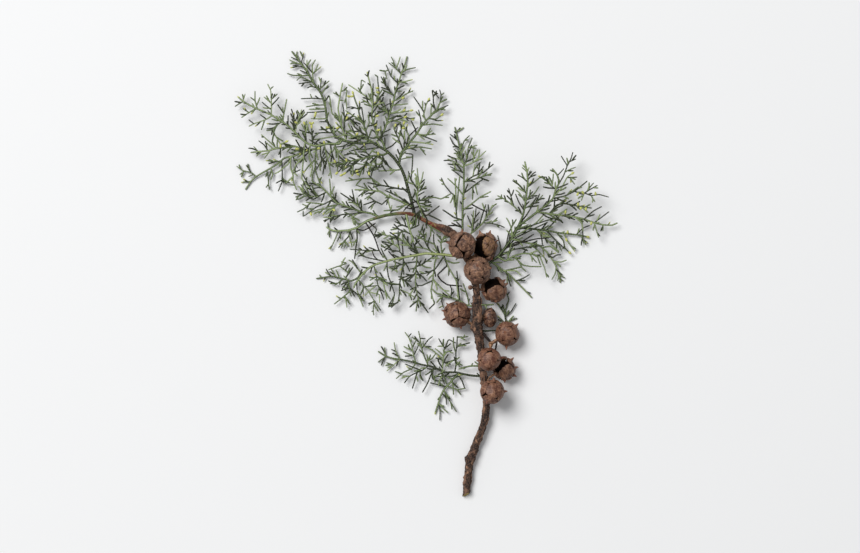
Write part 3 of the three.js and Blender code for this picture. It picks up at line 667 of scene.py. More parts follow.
def nearest_on(limbs: list[Limb], place: np.ndarray) -> tuple[np.ndarray, float]:
    """The nearest point, seen from above, on the centre lines of some limbs.

    Args:
        limbs: The limbs.
        place: x and y.

    Returns:
        The point in space and its distance seen from above.
    """
    starts = np.concatenate([limb.points[:-1] for limb in limbs])
    spans = np.concatenate([np.diff(limb.points, axis=0) for limb in limbs])
    flat = spans[:, :2]
    part = ((place - starts[:, :2]) * flat).sum(axis=1) / np.maximum((flat * flat).sum(axis=1), 1e-9)
    feet = starts + spans * np.clip(part, 0, 1)[:, None]
    distance = np.linalg.norm(feet[:, :2] - place, axis=1)
    best = int(distance.argmin())
    return feet[best], float(distance[best])


def is_crowded(place: np.ndarray) -> bool:
    """Whether a place, seen from above, lies in one of the crowded parts of the foliage."""
    return any(np.hypot(place[0] - x, place[1] - y) < reach for x, y, reach in CROWDED)


@dataclass
class Spray:
    """A fan of scale-leaved shoots on one axis, seated on what carries it.

    The seat is a place on the carrier, or "end" for its tip. Heights are read off evenly along
    the axis, and radii are those of its base and its tip. Axis and shoots are routes, and pollen
    lists the places of small pollen cones. Spacing and reach are those of the twiglets. The
    tones say how light the shoots are and what the axis adds at its base; base_yellow and
    yellow_tips are the yellow of the axis at its base and the share of yellow tips.
    """

    name: str
    carrier: str
    seat: str
    heights: tuple[float, ...]
    radii: tuple[float, float]
    axis: str
    shoots: str = ""
    pollen: str = ""
    spacing: float = 2.8
    reach: tuple[float, float] = (3.5, 8.0)
    tone: float = 0.5
    base_tone: float = 0.0
    base_yellow: float = 0.0
    yellow_tips: float = 0.05
    limbs: list[Limb] = field(default_factory=list)

    def place_axis(self, carrier: list[Limb]) -> Limb:
        """The axis: its heights are read off evenly along its length, from the seat on.

        Args:
            carrier: Limbs of the piece that carries the spray.

        Returns:
            The axis as a limb.
        """
        route = Route.read(self.axis)
        if self.seat == "end":
            base = carrier[0].points[-1]
        else:
            base, _ = nearest_on(carrier, Route.read(self.seat).points[0])
        flat = np.concatenate([base[None, :2], route.points])
        part = along_path(flat)
        height = np.interp(part, np.linspace(0, 1, len(self.heights)), self.heights)
        points = np.column_stack([flat, height])
        points[0] = base
        return Limb(points, np.interp(part, (0, 1), self.radii), route.pollen, route.dead_or_shaded)

    def place_shoot(self, route: Route, slope: float) -> Limb:
        """A side shoot that starts on the nearest limb already placed.

        Args:
            route: The shoot's route; its first point only says where it starts.
            slope: Height that it wins or loses by its tip.

        Returns:
            The shoot as a limb.
        """
        base, _ = nearest_on(self.limbs, route.points[0])
        flat = np.concatenate([base[None, :2], route.points[1:]])
        part = along_path(flat)
        points = np.column_stack([flat, np.maximum(base[2] + slope * part, SHOOT_RADIUS)])
        axis = self.limbs[0].points
        outer = np.linalg.norm(base - axis[0]) / np.linalg.norm(axis[-1] - axis[0])
        radii = SHOOT_RADIUS * (1 - SHOOT_TAPER * part) * (INNER_SWELL - OUTER_SLIM * min(outer, 1.0))
        return Limb(points, radii, route.pollen, route.dead_or_shaded)

    def place_pollen(self, place: np.ndarray, slope: float) -> Limb:
        """A short stalk with a pollen cone, from the nearest limb to a listed place."""
        base, distance = nearest_on(self.limbs, place)
        if distance < POLLEN_LENGTH:
            place = base[:2] + (place - base[:2] + TINY) * POLLEN_LENGTH / max(distance, TINY)
        tip = np.array([*place, base[2] + abs(slope) + POLLEN_RISE])
        return Limb(np.stack([base, (base + tip) / 2, tip]), np.full(3, SHOOT_RADIUS), True)

    def place_twiglet(
        self, base: np.ndarray, ahead: np.ndarray, lean: float, length: float, rng: np.random.Generator,
    ) -> Limb:
        """A short, slightly bent twiglet.

        Args:
            base: Where it starts.
            ahead: The way ahead of its shoot, seen from above.
            lean: Angle between the two.
            length: Its length seen from above.
            rng: Source of its bend and rise.

        Returns:
            The twiglet as a limb.
        """
        turned = np.array([
            ahead[0] * np.cos(lean) - ahead[1] * np.sin(lean),
            ahead[0] * np.sin(lean) + ahead[1] * np.cos(lean),
        ])
        bend = np.array([-turned[1], turned[0]]) * rng.uniform(-TWIGLET_BEND, TWIGLET_BEND) * length
        height = max(base[2] + rng.uniform(*TWIGLET_RISE), SHOOT_RADIUS)
        tip = np.array([*(base[:2] + turned * length), height])
        middle = (base + tip) / 2 + np.array([*bend, 0])
        radii = SHOOT_RADIUS * np.array(TWIGLET_TAPER)
        return Limb(np.stack([base, middle, tip]), radii, small=True)

    def branch_out(self, rng: np.random.Generator) -> None:
        """Adds the short twiglets that stand left and right in turn along every shoot not marked dead or
        shaded.

        They stand one spacing apart in the crowded parts and several elsewhere, lean away from
        the shoot, get shorter towards its tip, and are left out where their own tip would come
        too close to another limb.

        Args:
            rng: Source of the places, angles and lengths.
        """
        for limb in [limb for limb in self.limbs if not limb.dead_or_shaded]:
            spans = np.linalg.norm(np.diff(limb.points[:, :2], axis=0), axis=1)
            along = np.concatenate([[0], np.cumsum(spans)])
            side = rng.choice((-1, 1))
            place = self.spacing * rng.uniform(*TWIGLET_FIRST)
            while place < along[-1] - TWIGLET_END:
                base = np.array([np.interp(place, along, limb.points[:, i]) for i in range(3)])
                part = min(int(np.searchsorted(along, place)), len(spans)) - 1
                ahead = (limb.points[part + 1] - limb.points[part])[:2] / spans[part]
                crowded = is_crowded(base)
                lean = side * np.radians(rng.uniform(*TWIGLET_LEAN))
                length = rng.uniform(*self.reach) * (1 - TWIGLET_SHORTER * place / along[-1])
                length *= TWIGLET_LONGER_CROWDED if crowded else 1.0
                twiglet = self.place_twiglet(base, ahead, lean, length, rng)
                clear = TWIGLET_CLEAR_CROWDED if crowded else TWIGLET_CLEAR
                if nearest_on(self.limbs, twiglet.points[-1, :2])[1] > clear:
                    self.limbs.append(twiglet)
                side = -side
                place += self.spacing * rng.uniform(*TWIGLET_JITTER) * (1.0 if crowded else TWIGLET_SPARSE)

    def grow(self, carrier: list[Limb]) -> None:
        """Places the axis, then the shoots in their order, then the pollen cones."""
        self.limbs = [self.place_axis(carrier)]
        for number, route in enumerate(Route.read_all(self.shoots)):
            self.limbs.append(self.place_shoot(route, SHOOT_SLOPES[number % len(SHOOT_SLOPES)]))
        for number, place in enumerate(Route.read(self.pollen).points if self.pollen else []):
            self.limbs.append(self.place_pollen(place, SHOOT_SLOPES[number % len(SHOOT_SLOPES)]))

    def leaf_relief(self, steps: np.ndarray, angle: np.ndarray, rng: np.random.Generator) -> np.ndarray:
        """How far each point of a shoot is lifted by its scale leaves, from 0 to 1.

        Leaves stand in crossed pairs. In each leaf period the lift grows from the base of a leaf
        to its tip and drops back; the pair at 0 and 180 degrees is weighted by the positive part
        of cos(2 angle), the pair at 90 and 270 degrees, half a period on, by the negative part.

        Args:
            steps: (n,) distance along the shoot.
            angle: (columns,) angle round it.
            rng: Source of the place of the first leaf and the length of the leaves.

        Returns:
            (n, columns) lifts.
        """
        start = rng.uniform()
        period = LEAF_PERIOD * rng.uniform(*LEAF_VARIETY)

        def leaf(shift: float) -> np.ndarray:
            """Rise from a leaf's base to its tip and the drop after it."""
            place = (steps / period + start + shift) % 1
            return np.minimum(place / LEAF_RISE, (1 - place) / (1 - LEAF_RISE))

        pair = np.cos(2 * angle)
        return leaf(0)[:, None] * np.maximum(pair, 0) + leaf(0.5)[:, None] * np.maximum(-pair, 0)

    def end_shape(
        self, limb: Limb, radius: np.ndarray, to_tip: np.ndarray, rng: np.random.Generator,
    ) -> tuple[np.ndarray, np.ndarray]:
        """Ends the radius in a quarter circle, or in an egg for a pollen cone.

        Args:
            limb: The limb.
            radius: (n,) radius along it.
            to_tip: (n,) distance to its tip.
            rng: Source of the yellow tips.

        Returns:
            The new radius and how far each place is yellow, both (n,).
        """
        blunt = np.sqrt(np.clip(1 - (1 - np.clip(to_tip / TIP_ROUND, 0, 1)) ** 2, 0.02, 1))
        radius = np.minimum(radius, SHOOT_RADIUS + TIP_SLIM * to_tip) * blunt
        if limb.pollen:
            inside = np.clip(1 - to_tip / POLLEN_LENGTH, 0, 1)
            egg = np.where(inside > 0, np.sin(np.pi * (0.12 + 0.86 * inside)) ** 0.7, 0)
            return np.maximum(radius, POLLEN_RADIUS * egg), np.clip(egg * YELLOW_STRENGTH, 0, 1)
        if rng.uniform() < self.yellow_tips:
            return radius, np.clip(1 - to_tip / YELLOW_TIP_LENGTH, 0, 0.5) * YELLOW_STRENGTH
        return radius, np.zeros(len(to_tip))

    def shoot_looks(
        self, limb: Limb, steps: np.ndarray, angle: np.ndarray, lifted: np.ndarray,
        yellow: np.ndarray, rng: np.random.Generator,
    ) -> np.ndarray:
        """Looks of a shoot: painted light on top, painted shade on its sides and below, lighter at its tip,
        and some shoots dark all over, old ones or painted shade.

        Args:
            limb: The limb.
            steps: (n,) distance along it.
            angle: (columns,) angle round it.
            lifted: (n, columns) lift of its leaves.
            yellow: (n,) how yellow it is.
            rng: Source of its tone.

        Returns:
            (n, columns, 4) looks.
        """
        # Dark all over: old shoots, and shoots painted dark as the shade of others, more of them in the
        # crowded parts.
        share = PAINTED_SHADE_SHARE_CROWDED if is_crowded(limb.points[len(limb.points) // 2]) else DARK_SHARE
        is_axis = limb is self.limbs[0]
        shade = DARK_STEP if rng.uniform() < share and not is_axis else 0.0
        tone = self.tone + shade + rng.normal(0, TONE_VARIETY)
        tone = tone + TIP_LIGHTER * steps / max(steps[-1], TIP_LIGHTER_FROM)
        if is_axis:
            to_base = 1 - steps / steps[-1]
            tone = tone + self.base_tone * to_base
            yellow = np.maximum(yellow, self.base_yellow * to_base)
        # Painted light on top of the shoot and painted shade on its sides and underside, by the angle round
        # it.
        light = np.clip(tone, *TONE_RANGE)[:, None] + PAINTED_SIDE_SHADE
        # Raised leaf tips lighter: partly paler tips, partly a painted highlight.
        light = light + PAINTED_TOP_LIGHT * np.sin(angle) + LEAF_TIP_PALE_AND_HIGHLIGHT * lifted
        return looks_of(light, yellow[:, None], DEAD_OR_SHADED_LOOK if limb.dead_or_shaded else 0.0, lifted)

    def leaf_tube(self, limb: Limb, rng: np.random.Generator) -> tuple[np.ndarray, np.ndarray]:
        """A slightly swayed shoot clothed in overlapping scale leaves.

        Args:
            limb: Centre line and radii.
            rng: Source of the small differences between shoots.

        Returns:
            Rings (n, columns, 3) and looks (n, columns, 4).
        """
        path = even_path(limb.points, RING_STEP, CORNER_EASE)
        steps = np.arange(len(path)) * RING_STEP
        length = steps[-1]
        sway = rng.uniform(-SHOOT_SWAY, SHOOT_SWAY) * np.sin(np.pi * steps / length)
        sway = sway * min(length / SWAY_FULL_FROM, 1)
        path = path + path_frames(path)[0] * sway[:, None]
        radius = limb.radius_along(path) * rng.uniform(*SHOOT_VARIETY)
        angle = around(TWIGLET_COLUMNS if limb.small else SHOOT_COLUMNS)
        lifted = self.leaf_relief(steps, angle, rng)
        radius, yellow = self.end_shape(limb, radius, length - steps, rng)
        rings = swept_rings(path, radius[:, None] * (LEAF_BASE + LEAF_LIFT * lifted))
        return rings, self.shoot_looks(limb, steps, angle, lifted, yellow, rng)

    def build(self, material: bpy.types.Material, seed: int) -> bpy.types.Object:
        """Builds the spray as one piece that replaces its solid.

        Args:
            material: The foliage finish.
            seed: Seed of its small differences.

        Returns:
            The piece.
        """
        rng = np.random.default_rng(seed)
        self.branch_out(rng)
        surface = Surface()
        for limb in self.limbs:
            surface.add_rings(*self.leaf_tube(limb, rng))
        return hand_over(surface.make(self.name + "_leaves", material), self.name)


def hand_over(piece: bpy.types.Object, node: str) -> bpy.types.Object:
    """Makes a piece stand for its solid: it rides on the sprig's root body and the solid is hidden."""
    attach(piece, "root")
    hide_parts(node)
    log.info("%s: %d faces", piece.name, len(piece.data.polygons))
    return piece


@dataclass
class WoodyStem:
    """The main stem with its knots, its oblique cut end and the small twigs of the cones.

    Rows are x, y, height and radius. Patches are x, y and reach of places where the bark has
    peeled. Knots are x, y, reach and how far they stand out. All are in millimetres. The stem
    is young left of young_from where it lies above young_above.
    """

    rows: tuple[tuple[float, ...], ...]
    twigs: tuple[tuple[tuple[float, ...], ...], ...]
    knots: tuple[tuple[float, ...], ...]
    patches: tuple[tuple[float, ...], ...]
    columns: int = 56
    twig_columns: int = 16
    step: float = 0.45
    ease: float = 7.0
    usual_radius: float = 3.0
    bark_height: float = 0.46
    lump_height: float = 0.4
    cut_slope: float = 0.58
    cut_rise: float = 0.45
    cut_reach: float = 6.0
    young_from: float = 14.0
    young_above: float = 30.0
    limbs: list[Limb] = field(default_factory=list)

    def __post_init__(self) -> None:
        """Places the centre line that sprays and cones are seated on."""
        self.limbs = [Limb.from_rows(self.rows)]

    def bark(self, smooth: np.ndarray, steps: np.ndarray) -> np.ndarray:
        """Height of the bark at each point, from about -1 in a fissure to 1 on a ridge.

        Fissures run where a wave pattern, stretched along the stem, passes through zero; short
        cross cracks run where a second pattern, stretched round it, does.

        Args:
            smooth: (n, columns, 3) points of the smooth stem.
            steps: (n,) distance along it.

        Returns:
            (n, columns) heights.
        """
        angle = around(self.columns)
        turned = np.stack(np.broadcast_arrays(
            steps[:, None] * 0.3, self.usual_radius * np.cos(angle), self.usual_radius * np.sin(angle),
        ), axis=-1)
        crossed = turned * np.array([6.0, 0.5, 0.5])
        ridges = waves(turned, 4.2, 11, 4)
        fissures = np.exp(-(ridges / 0.22) ** 2)
        cracks = np.exp(-(waves(crossed, 5.0, 12, 3) / 0.12) ** 2)
        return 0.8 * ridges + 0.35 * waves(smooth, 1.6, 13, 2) - 0.9 * fissures - 0.5 * cracks + 0.3

    def trunk(self) -> tuple[np.ndarray, np.ndarray]:
        """The stem's rings and looks, from the cut face to the green end."""
        path = even_path(self.limbs[0].points, self.step, self.ease)
        steps = np.arange(len(path)) * self.step
        radius = self.limbs[0].radius_along(path)[:, None]
        smooth = swept_rings(path, np.repeat(radius, self.columns, axis=1))
        height = self.bark(smooth, steps)
        old = path[:, 0] + (path[:, 1] < self.young_above) * 100
        rough = np.interp(old, (self.young_from - 9, self.young_from), (0.25, 1.0))[:, None]
        lumps = waves(smooth, 8.0, 14, 2)
        radii = radius + rough * (self.bark_height * height + self.lump_height * lumps)
        for x, y, reach, stands in self.knots:
            distance = np.hypot(smooth[..., 0] - x, smooth[..., 1] - y)
            radii += stands * np.exp(-(distance / reach) ** 2)
        rings = self.slanted(swept_rings(path, radii), path, steps)
        young = np.clip((1 - rough) * 1.8, 0, 1)
        young = young * np.clip(0.75 + 0.5 * waves(smooth * (0.4, 1, 1), 2.0, 15, 2), 0, 1)
        return self.with_cut(rings, looks_of(0.5 + 0.46 * height, self.peeled(rings, path), young))

    def slanted(self, rings: np.ndarray, path: np.ndarray, steps: np.ndarray) -> np.ndarray:
        """Slides the rings near the cut end along the stem, so that the cut lies aslant.

        Args:
            rings: (n, columns, 3) points.
            path: (n, 3) centre line.
            steps: (n,) distance along it.

        Returns:
            The new points.
        """
        across, upright = path_frames(path)
        ahead = np.gradient(path, axis=0) / self.step
        slant = self.cut_slope * across + self.cut_rise * upright
        offset = ((rings - path[:, None]) * slant[:, None]).sum(axis=2)
        ease = np.clip(1 - steps / self.cut_reach, 0, 1)
        return rings + ahead[:, None] * (offset * ease[:, None])[..., None]

    def peeled(self, rings: np.ndarray, path: np.ndarray) -> np.ndarray:
        """How far the bark has peeled at each point: ragged patches on the upper side.

        Args:
            rings: (n, columns, 3) points.
            path: (n, 3) centre line.

        Returns:
            (n, columns) shares of 0 to 0.6.
        """
        above = rings[..., 2] > path[:, None, 2] - 0.5
        most = np.zeros(above.shape)
        for number, (x, y, reach) in enumerate(self.patches):
            distance = np.hypot((rings[..., 0] - x) * 1.3, (rings[..., 1] - y) * 0.8) / reach
            ragged = distance * 1.25 + 0.5 * waves(rings, 1.6, 30 + number, 2)
            most = np.maximum(most, np.clip((1.0 - ragged) * 1.4, 0, 0.6) * above)
        return most

    def with_cut(self, rings: np.ndarray, looks: np.ndarray) -> tuple[np.ndarray, np.ndarray]:
        """Puts flat rings of cut wood before the first ring, each a part of its radius."""
        middle = rings[0].mean(axis=0)
        parts = np.array([0.15, 0.4, 0.62, 0.8, 0.9])[:, None, None]
        face = middle + (rings[0] - middle)[None] * parts
        wood = np.zeros((len(parts), looks.shape[1], 4))
        wood[..., 0] = 0.7
        wood[:-1, :, 3] = 1.0
        return np.concatenate([face, rings]), np.concatenate([wood, looks])

    def twig(self, rows: tuple[tuple[float, ...], ...]) -> tuple[np.ndarray, np.ndarray]:
        """A thin woody twig with lumpy bark."""
        limb = Limb.from_rows(rows)
        path = even_path(limb.points, self.step, CORNER_EASE)
        radius = limb.radius_along(path)[:, None]
        lumps = waves(swept_rings(path, np.repeat(radius, self.twig_columns, axis=1)), 2.4, 16, 3)
        return swept_rings(path, radius * (1 + 0.13 * lumps)), looks_of(0.1 + 0.3 * lumps)

    def build(self, material: bpy.types.Material) -> bpy.types.Object:
        """Builds the stem as one piece that replaces its solid."""
        surface = Surface()
        surface.add_rings(*self.trunk())
        for rows in self.twigs:
            surface.add_rings(*self.twig(rows))
        return hand_over(surface.make("main_stem_bark", material), "main_stem")


class ConeKind(Enum):
    """How far a cone has opened: gap between its scales in millimetres and depth of their rims."""

    CLOSED = (0.01, 0.014)
    CRACKED = (0.02, 0.018)
    OPEN = (0.25, 0.05)
    YOUNG = (0.04, 0.03)

    @property
    def gap(self) -> float:
        """Gap between two scales in millimetres."""
        return self.value[0]

    @property
    def rim(self) -> float:
        """How far a scale's rim lies under its face, as a part of the cone's radius."""
        return self.value[1]


@dataclass
class Cone:
    """A round cone of woody scales, each with a small point, on a short stalk.

    Everything that shows from above is given by x and y offsets from the cone's centre in
    millimetres. Plates are the middles of its scales, points their small spines, hollows the
    places where a scale has bent back so that the cone gapes, and cracks are x, y, reach and
    width of the places where a seam has opened. Wrinkle is the height of the relief as a part
    of the radius, tone how light the wood is, which on the small shaded cone is lowered as painted
    shade, warmth how orange it is, golden how much of its split wood shows, and core_share the
    size of the core, painted near black as shade, as a part of the cone.
    """

    name: str
    centre: tuple[float, float, float]
    size: tuple[float, float, float]
    root: tuple[float, float, float]
    kind: ConeKind
    plates: tuple[tuple[float, float], ...]
    points: tuple[tuple[float, float], ...] = ()
    cracks: tuple[tuple[float, float, float, float], ...] = ()
    hollows: tuple[tuple[float, float], ...] = ()
    columns: int = 60
    face_rows: int = 20
    wrinkle: float = 0.042
    tone: float = 0.42
    golden: float = 0.0
    core_share: float = 0.5
    warmth: float = 0.0
    stalk_radius: float = 0.95
    stalk_bend: tuple[float, float, float] = (0.0, 0.0, 0.6)

    @property
    def radius(self) -> float:
        """Mean radius in millimetres."""
        return float(np.mean(self.size))

    def directions(self, offsets: tuple[tuple[float, float], ...]) -> np.ndarray:
        """Unit directions to offsets on the upper half of the cone."""
        if not offsets:
            return np.zeros((0, 3))
        flat = np.array(offsets, dtype=float) / np.array(self.size[:2])
        reach = np.linalg.norm(flat, axis=1, keepdims=True)
        flat = np.where(reach > 0.99, flat * 0.99 / reach, flat)
        height = np.sqrt(1 - (flat ** 2).sum(axis=1))
        return np.column_stack([flat, height])

    def lower_plates(self, upper: np.ndarray, rng: np.random.Generator) -> np.ndarray:
        """Middles of the scales of the hidden underside, in rings that keep clear of the others."""
        turn = rng.uniform(0, 2 * np.pi)
        kept = list(upper)
        for elevation, count, shift in LOWER_RINGS:
            bearing = turn + 2 * np.pi * (np.arange(count) + shift) / count
            level = np.radians(elevation)
            flat = np.stack([np.cos(bearing), np.sin(bearing)], axis=1) * np.cos(level)
            for place in np.column_stack([flat, np.full(count, np.sin(level))]):
                if all(place @ other < np.cos(np.radians(LEAST_APART)) for other in kept):
                    kept.append(place)
        return np.array(kept[len(upper):]).reshape(-1, 3)

    def edge(
        self, middle: np.ndarray, away: np.ndarray, others: np.ndarray, hollow: np.ndarray, number: int,
    ) -> tuple[np.ndarray, np.ndarray, np.ndarray]:
        """Where a scale ends, all round its middle.

        In the direction t away from its own middle s, a scale reaches the angle at which a
        place is as near to another middle n: atan((1 - s.n) / (t.n)), taken as a soft minimum
        over all others, less half the gap.

        Args:
            middle: Unit direction of the scale's middle.
            away: (columns, 3) directions away from it.
            others: (n, 3) directions of the other middles.
            hollow: (n,) whether each of the others is a hollow.
            number: Seed of its ragged edge.

        Returns:
            Angle of the edge, width of the crack and nearness to a hollow, all (columns,).
        """
        facing = away @ others.T
        apart = 1 - others @ middle
        reach = np.where(facing > 0.02, np.arctan2(apart[None], np.maximum(facing, 0.02)), 1.5)
        powers = reach ** SOFT_POWER
        edge = (powers.sum(axis=1) + WIDEST_SCALE ** SOFT_POWER) ** (1 / SOFT_POWER)
        beside = (powers[:, hollow].sum(axis=1) / powers.sum(axis=1)) ** 2
        place = (np.cos(edge)[:, None] * middle + np.sin(edge)[:, None] * away) * np.array(self.size)
        opening = np.zeros(self.columns)
        for x, y, length, width in self.cracks:
            distance = np.hypot(place[:, 0] - x, place[:, 1] - y)
            opening += width * np.exp(-(distance / length) ** 4) * (place[:, 2] > 0)
        ragged = waves(place, 3.0, number + 3, 3)
        edge = edge - (self.kind.gap + opening * (1 + 0.4 * ragged)) / 2 / self.radius
        return edge * (1 + 0.07 * ragged * beside), opening, beside

    def patterns(
        self, outward: np.ndarray, angle: np.ndarray, spread: np.ndarray, number: int,
    ) -> np.ndarray:
        """The four patterns of a scale: slow swells, veins, fine grain and streaks from its middle.

        Args:
            outward: (n, columns, 3) unit directions to its points.
            angle: (columns,) angle round its middle.
            spread: (n, columns) distance from its middle, 1 at its edge.
            number: Seed of the patterns.

        Returns:
            (4, n, columns) heights.
        """
        places = outward * self.radius
        rough = waves(places, 6.5, number, 2)
        veins = np.maximum(1 - 4.5 * np.abs(waves(places, 6.0, number + 1, 2)), 0)
        fine = waves(places, 1.6, number + 2, 2)
        bearing = np.stack(np.broadcast_arrays(np.cos(angle), np.sin(angle), 0.3 * spread), axis=-1)
        streaks = waves(bearing, 0.9, number + 5, 3) * np.minimum(2 * spread, 1)
        return np.stack([rough, veins, fine, streaks])

    def spines(self, outward: np.ndarray) -> np.ndarray:
        """Height in millimetres of the small spines, at points given by their unit directions."""
        height = np.zeros(outward.shape[:-1])
        for direction in self.directions(self.points):
            distance = np.linalg.norm((outward - direction) * np.array(self.size), axis=-1)
            tallest = 1.0 + 2.2 * (1 - direction[2])
            height = np.maximum(height, tallest * np.exp(-(distance / 0.75) ** 2))
        return height

    def scale(
        self, middle: np.ndarray, others: np.ndarray, hollow: np.ndarray, number: int, gold: float,
    ) -> tuple[np.ndarray, np.ndarray]:
        """One woody scale as a closed polar grid.

        Its face is a low dome with wrinkles and small spines; its rim turns in, and its sides
        draw together to a stalk inside the cone. Beside a hollow the sides stand out first, so
        that their split wood shows.

        Args:
            middle: Unit direction of the scale's middle.
            others: (n, 3) directions of the other middles.
            hollow: (n,) whether each of the others is a hollow.
            number: Seed of its wrinkles.
            gold: How much of its split wood shows, from 0 to 1.

        Returns:
            Rings and looks, from the middle of the face to the inner end of the stalk.
        """
        helper = UP if abs(middle[2]) < 0.9 else np.array([1.0, 0, 0])
        first = np.cross(helper, middle)
        first /= np.linalg.norm(first)
        second = np.cross(middle, first)
        angle = around(self.columns)
        away = np.cos(angle)[:, None] * first + np.sin(angle)[:, None] * second
        edge, opening, beside = self.edge(middle, away, others, hollow, number)
        share = (beside * gold)[None, :, None]
        sound = np.array([(0.99, 1 - 2.0 * self.kind.rim), *PLAIN_SIDES])
        sides = sound[:, None] * (1 - share) + np.array(SPLIT_SIDES)[:, None] * share
        part = np.linspace(0.02, 1, self.face_rows)
        spread = np.concatenate([np.repeat(part[:, None], self.columns, axis=1), sides[..., 0]])
        turn = edge[None] * spread
        outward = np.cos(turn)[..., None] * middle + np.sin(turn)[..., None] * away[None]
        patterns = self.patterns(outward, angle, spread, number)
        torn = gold * np.clip(0.5 + 0.9 * waves(outward * self.radius, 2.8, number + 4, 2), 0, 1)
        spine = self.spines(outward)
        rim = np.clip((spread - 0.9) / 0.1, 0, 1) ** 2
        level = 1 - self.kind.rim * rim + self.wrinkle * np.tensordot(RELIEF_WEIGHTS, patterns, 1)
        level += 0.05 * waves(outward * self.radius, 17.0, number // 40, 1) - 0.07 * torn
        level += spine / self.radius
        face = self.face_rows
        level[face:] = sides[..., 1] + 0.04 * patterns[2, face:]
        # The rim of each face is painted darker as shade in its seam, more where a crack has opened.
        looks = looks_of(
            1.0 - (0.1 + 0.4 * np.clip(opening, 0, 1)) * rim, np.clip(self.warmth + spine * 0.8, 0, 0.6),
            torn * 0.8, self.tone + np.tensordot(LOOK_WEIGHTS, patterns, 1),
        )
        # The inner sides are painted darker deeper in as shade; split wood beside a hollow keeps more of its
        # light.
        split = np.array(SPLIT_SIDE_PAINTED_SHADE)[:, None] * beside * gold
        looks[face:, :, 0] = np.maximum(np.array(SIDE_PAINTED_SHADE)[:, None], split)
        looks[face:, :, 2] = 0.2 + 0.6 * beside * gold
        return np.array(self.centre) + outward * level[..., None] * np.array(self.size), looks

    def core(self) -> tuple[np.ndarray, np.ndarray]:
        """The middle of the cone, painted near black as shade, that shows through its gaps."""
        angle = around(CORE_COLUMNS)
        level = np.linspace(CORE_END, np.pi - CORE_END, CORE_ROWS)[:, None]
        outward = np.stack(np.broadcast_arrays(
            np.sin(level) * np.cos(angle), np.sin(level) * np.sin(angle), np.cos(level),
        ), axis=-1)
        rings = np.array(self.centre) + outward * np.array(self.size) * self.core_share
        return rings, looks_of(np.full(rings.shape[:2], CORE_PAINTED_SHADE))

    def stalk(self) -> tuple[np.ndarray, np.ndarray]:
        """The short lumpy stalk from the stem, where it is widest, into the cone."""
        centre = np.array(self.centre)
        root = np.array(self.root)
        bend = (root + centre) / 2 + np.array(self.stalk_bend)
        path = even_path(np.stack([root, bend, centre]), STALK_STEP, STALK_EASE)
        swell = 1 + 0.15 * waves(path, 4.0, 5, 2) + 0.35 * np.exp(-(along_path(path) / 0.2) ** 2)
        radius = self.stalk_radius * swell[:, None]
        lumps = waves(swept_rings(path, np.repeat(radius, STALK_COLUMNS, axis=1)), 2.6, 6, 2)
        return swept_rings(path, radius * (1 + 0.2 * lumps)), looks_of(1.0, 0.0, 0.3, 0.66 + 0.7 * lumps)

    def build(self, material: bpy.types.Material, number: int) -> bpy.types.Object:
        """Builds the cone as one piece that replaces its solid.

        Args:
            material: The cone finish.
            number: Seed of its wrinkles and of its underside.

        Returns:
            The piece.
        """
        rng = np.random.default_rng(number)
        upper = self.directions(self.plates)
        known = np.concatenate([upper, self.directions(self.hollows)])
        every = np.concatenate([known, self.lower_plates(known, rng)])
        hollow = np.zeros(len(every), dtype=bool)
        hollow[len(upper):len(known)] = True
        surface = Surface()
        for i in np.flatnonzero(~hollow):
            others = np.arange(len(every)) != i
            gold = self.golden if i < len(upper) else 0.0
            seed = number * 40 + int(i) * 2
            surface.add_rings(*self.scale(every[i], every[others], hollow[others], seed, gold))
        surface.add_rings(*self.core())
        surface.add_rings(*self.stalk())
        return hand_over(surface.make(self.name + "_scales", material), self.name)


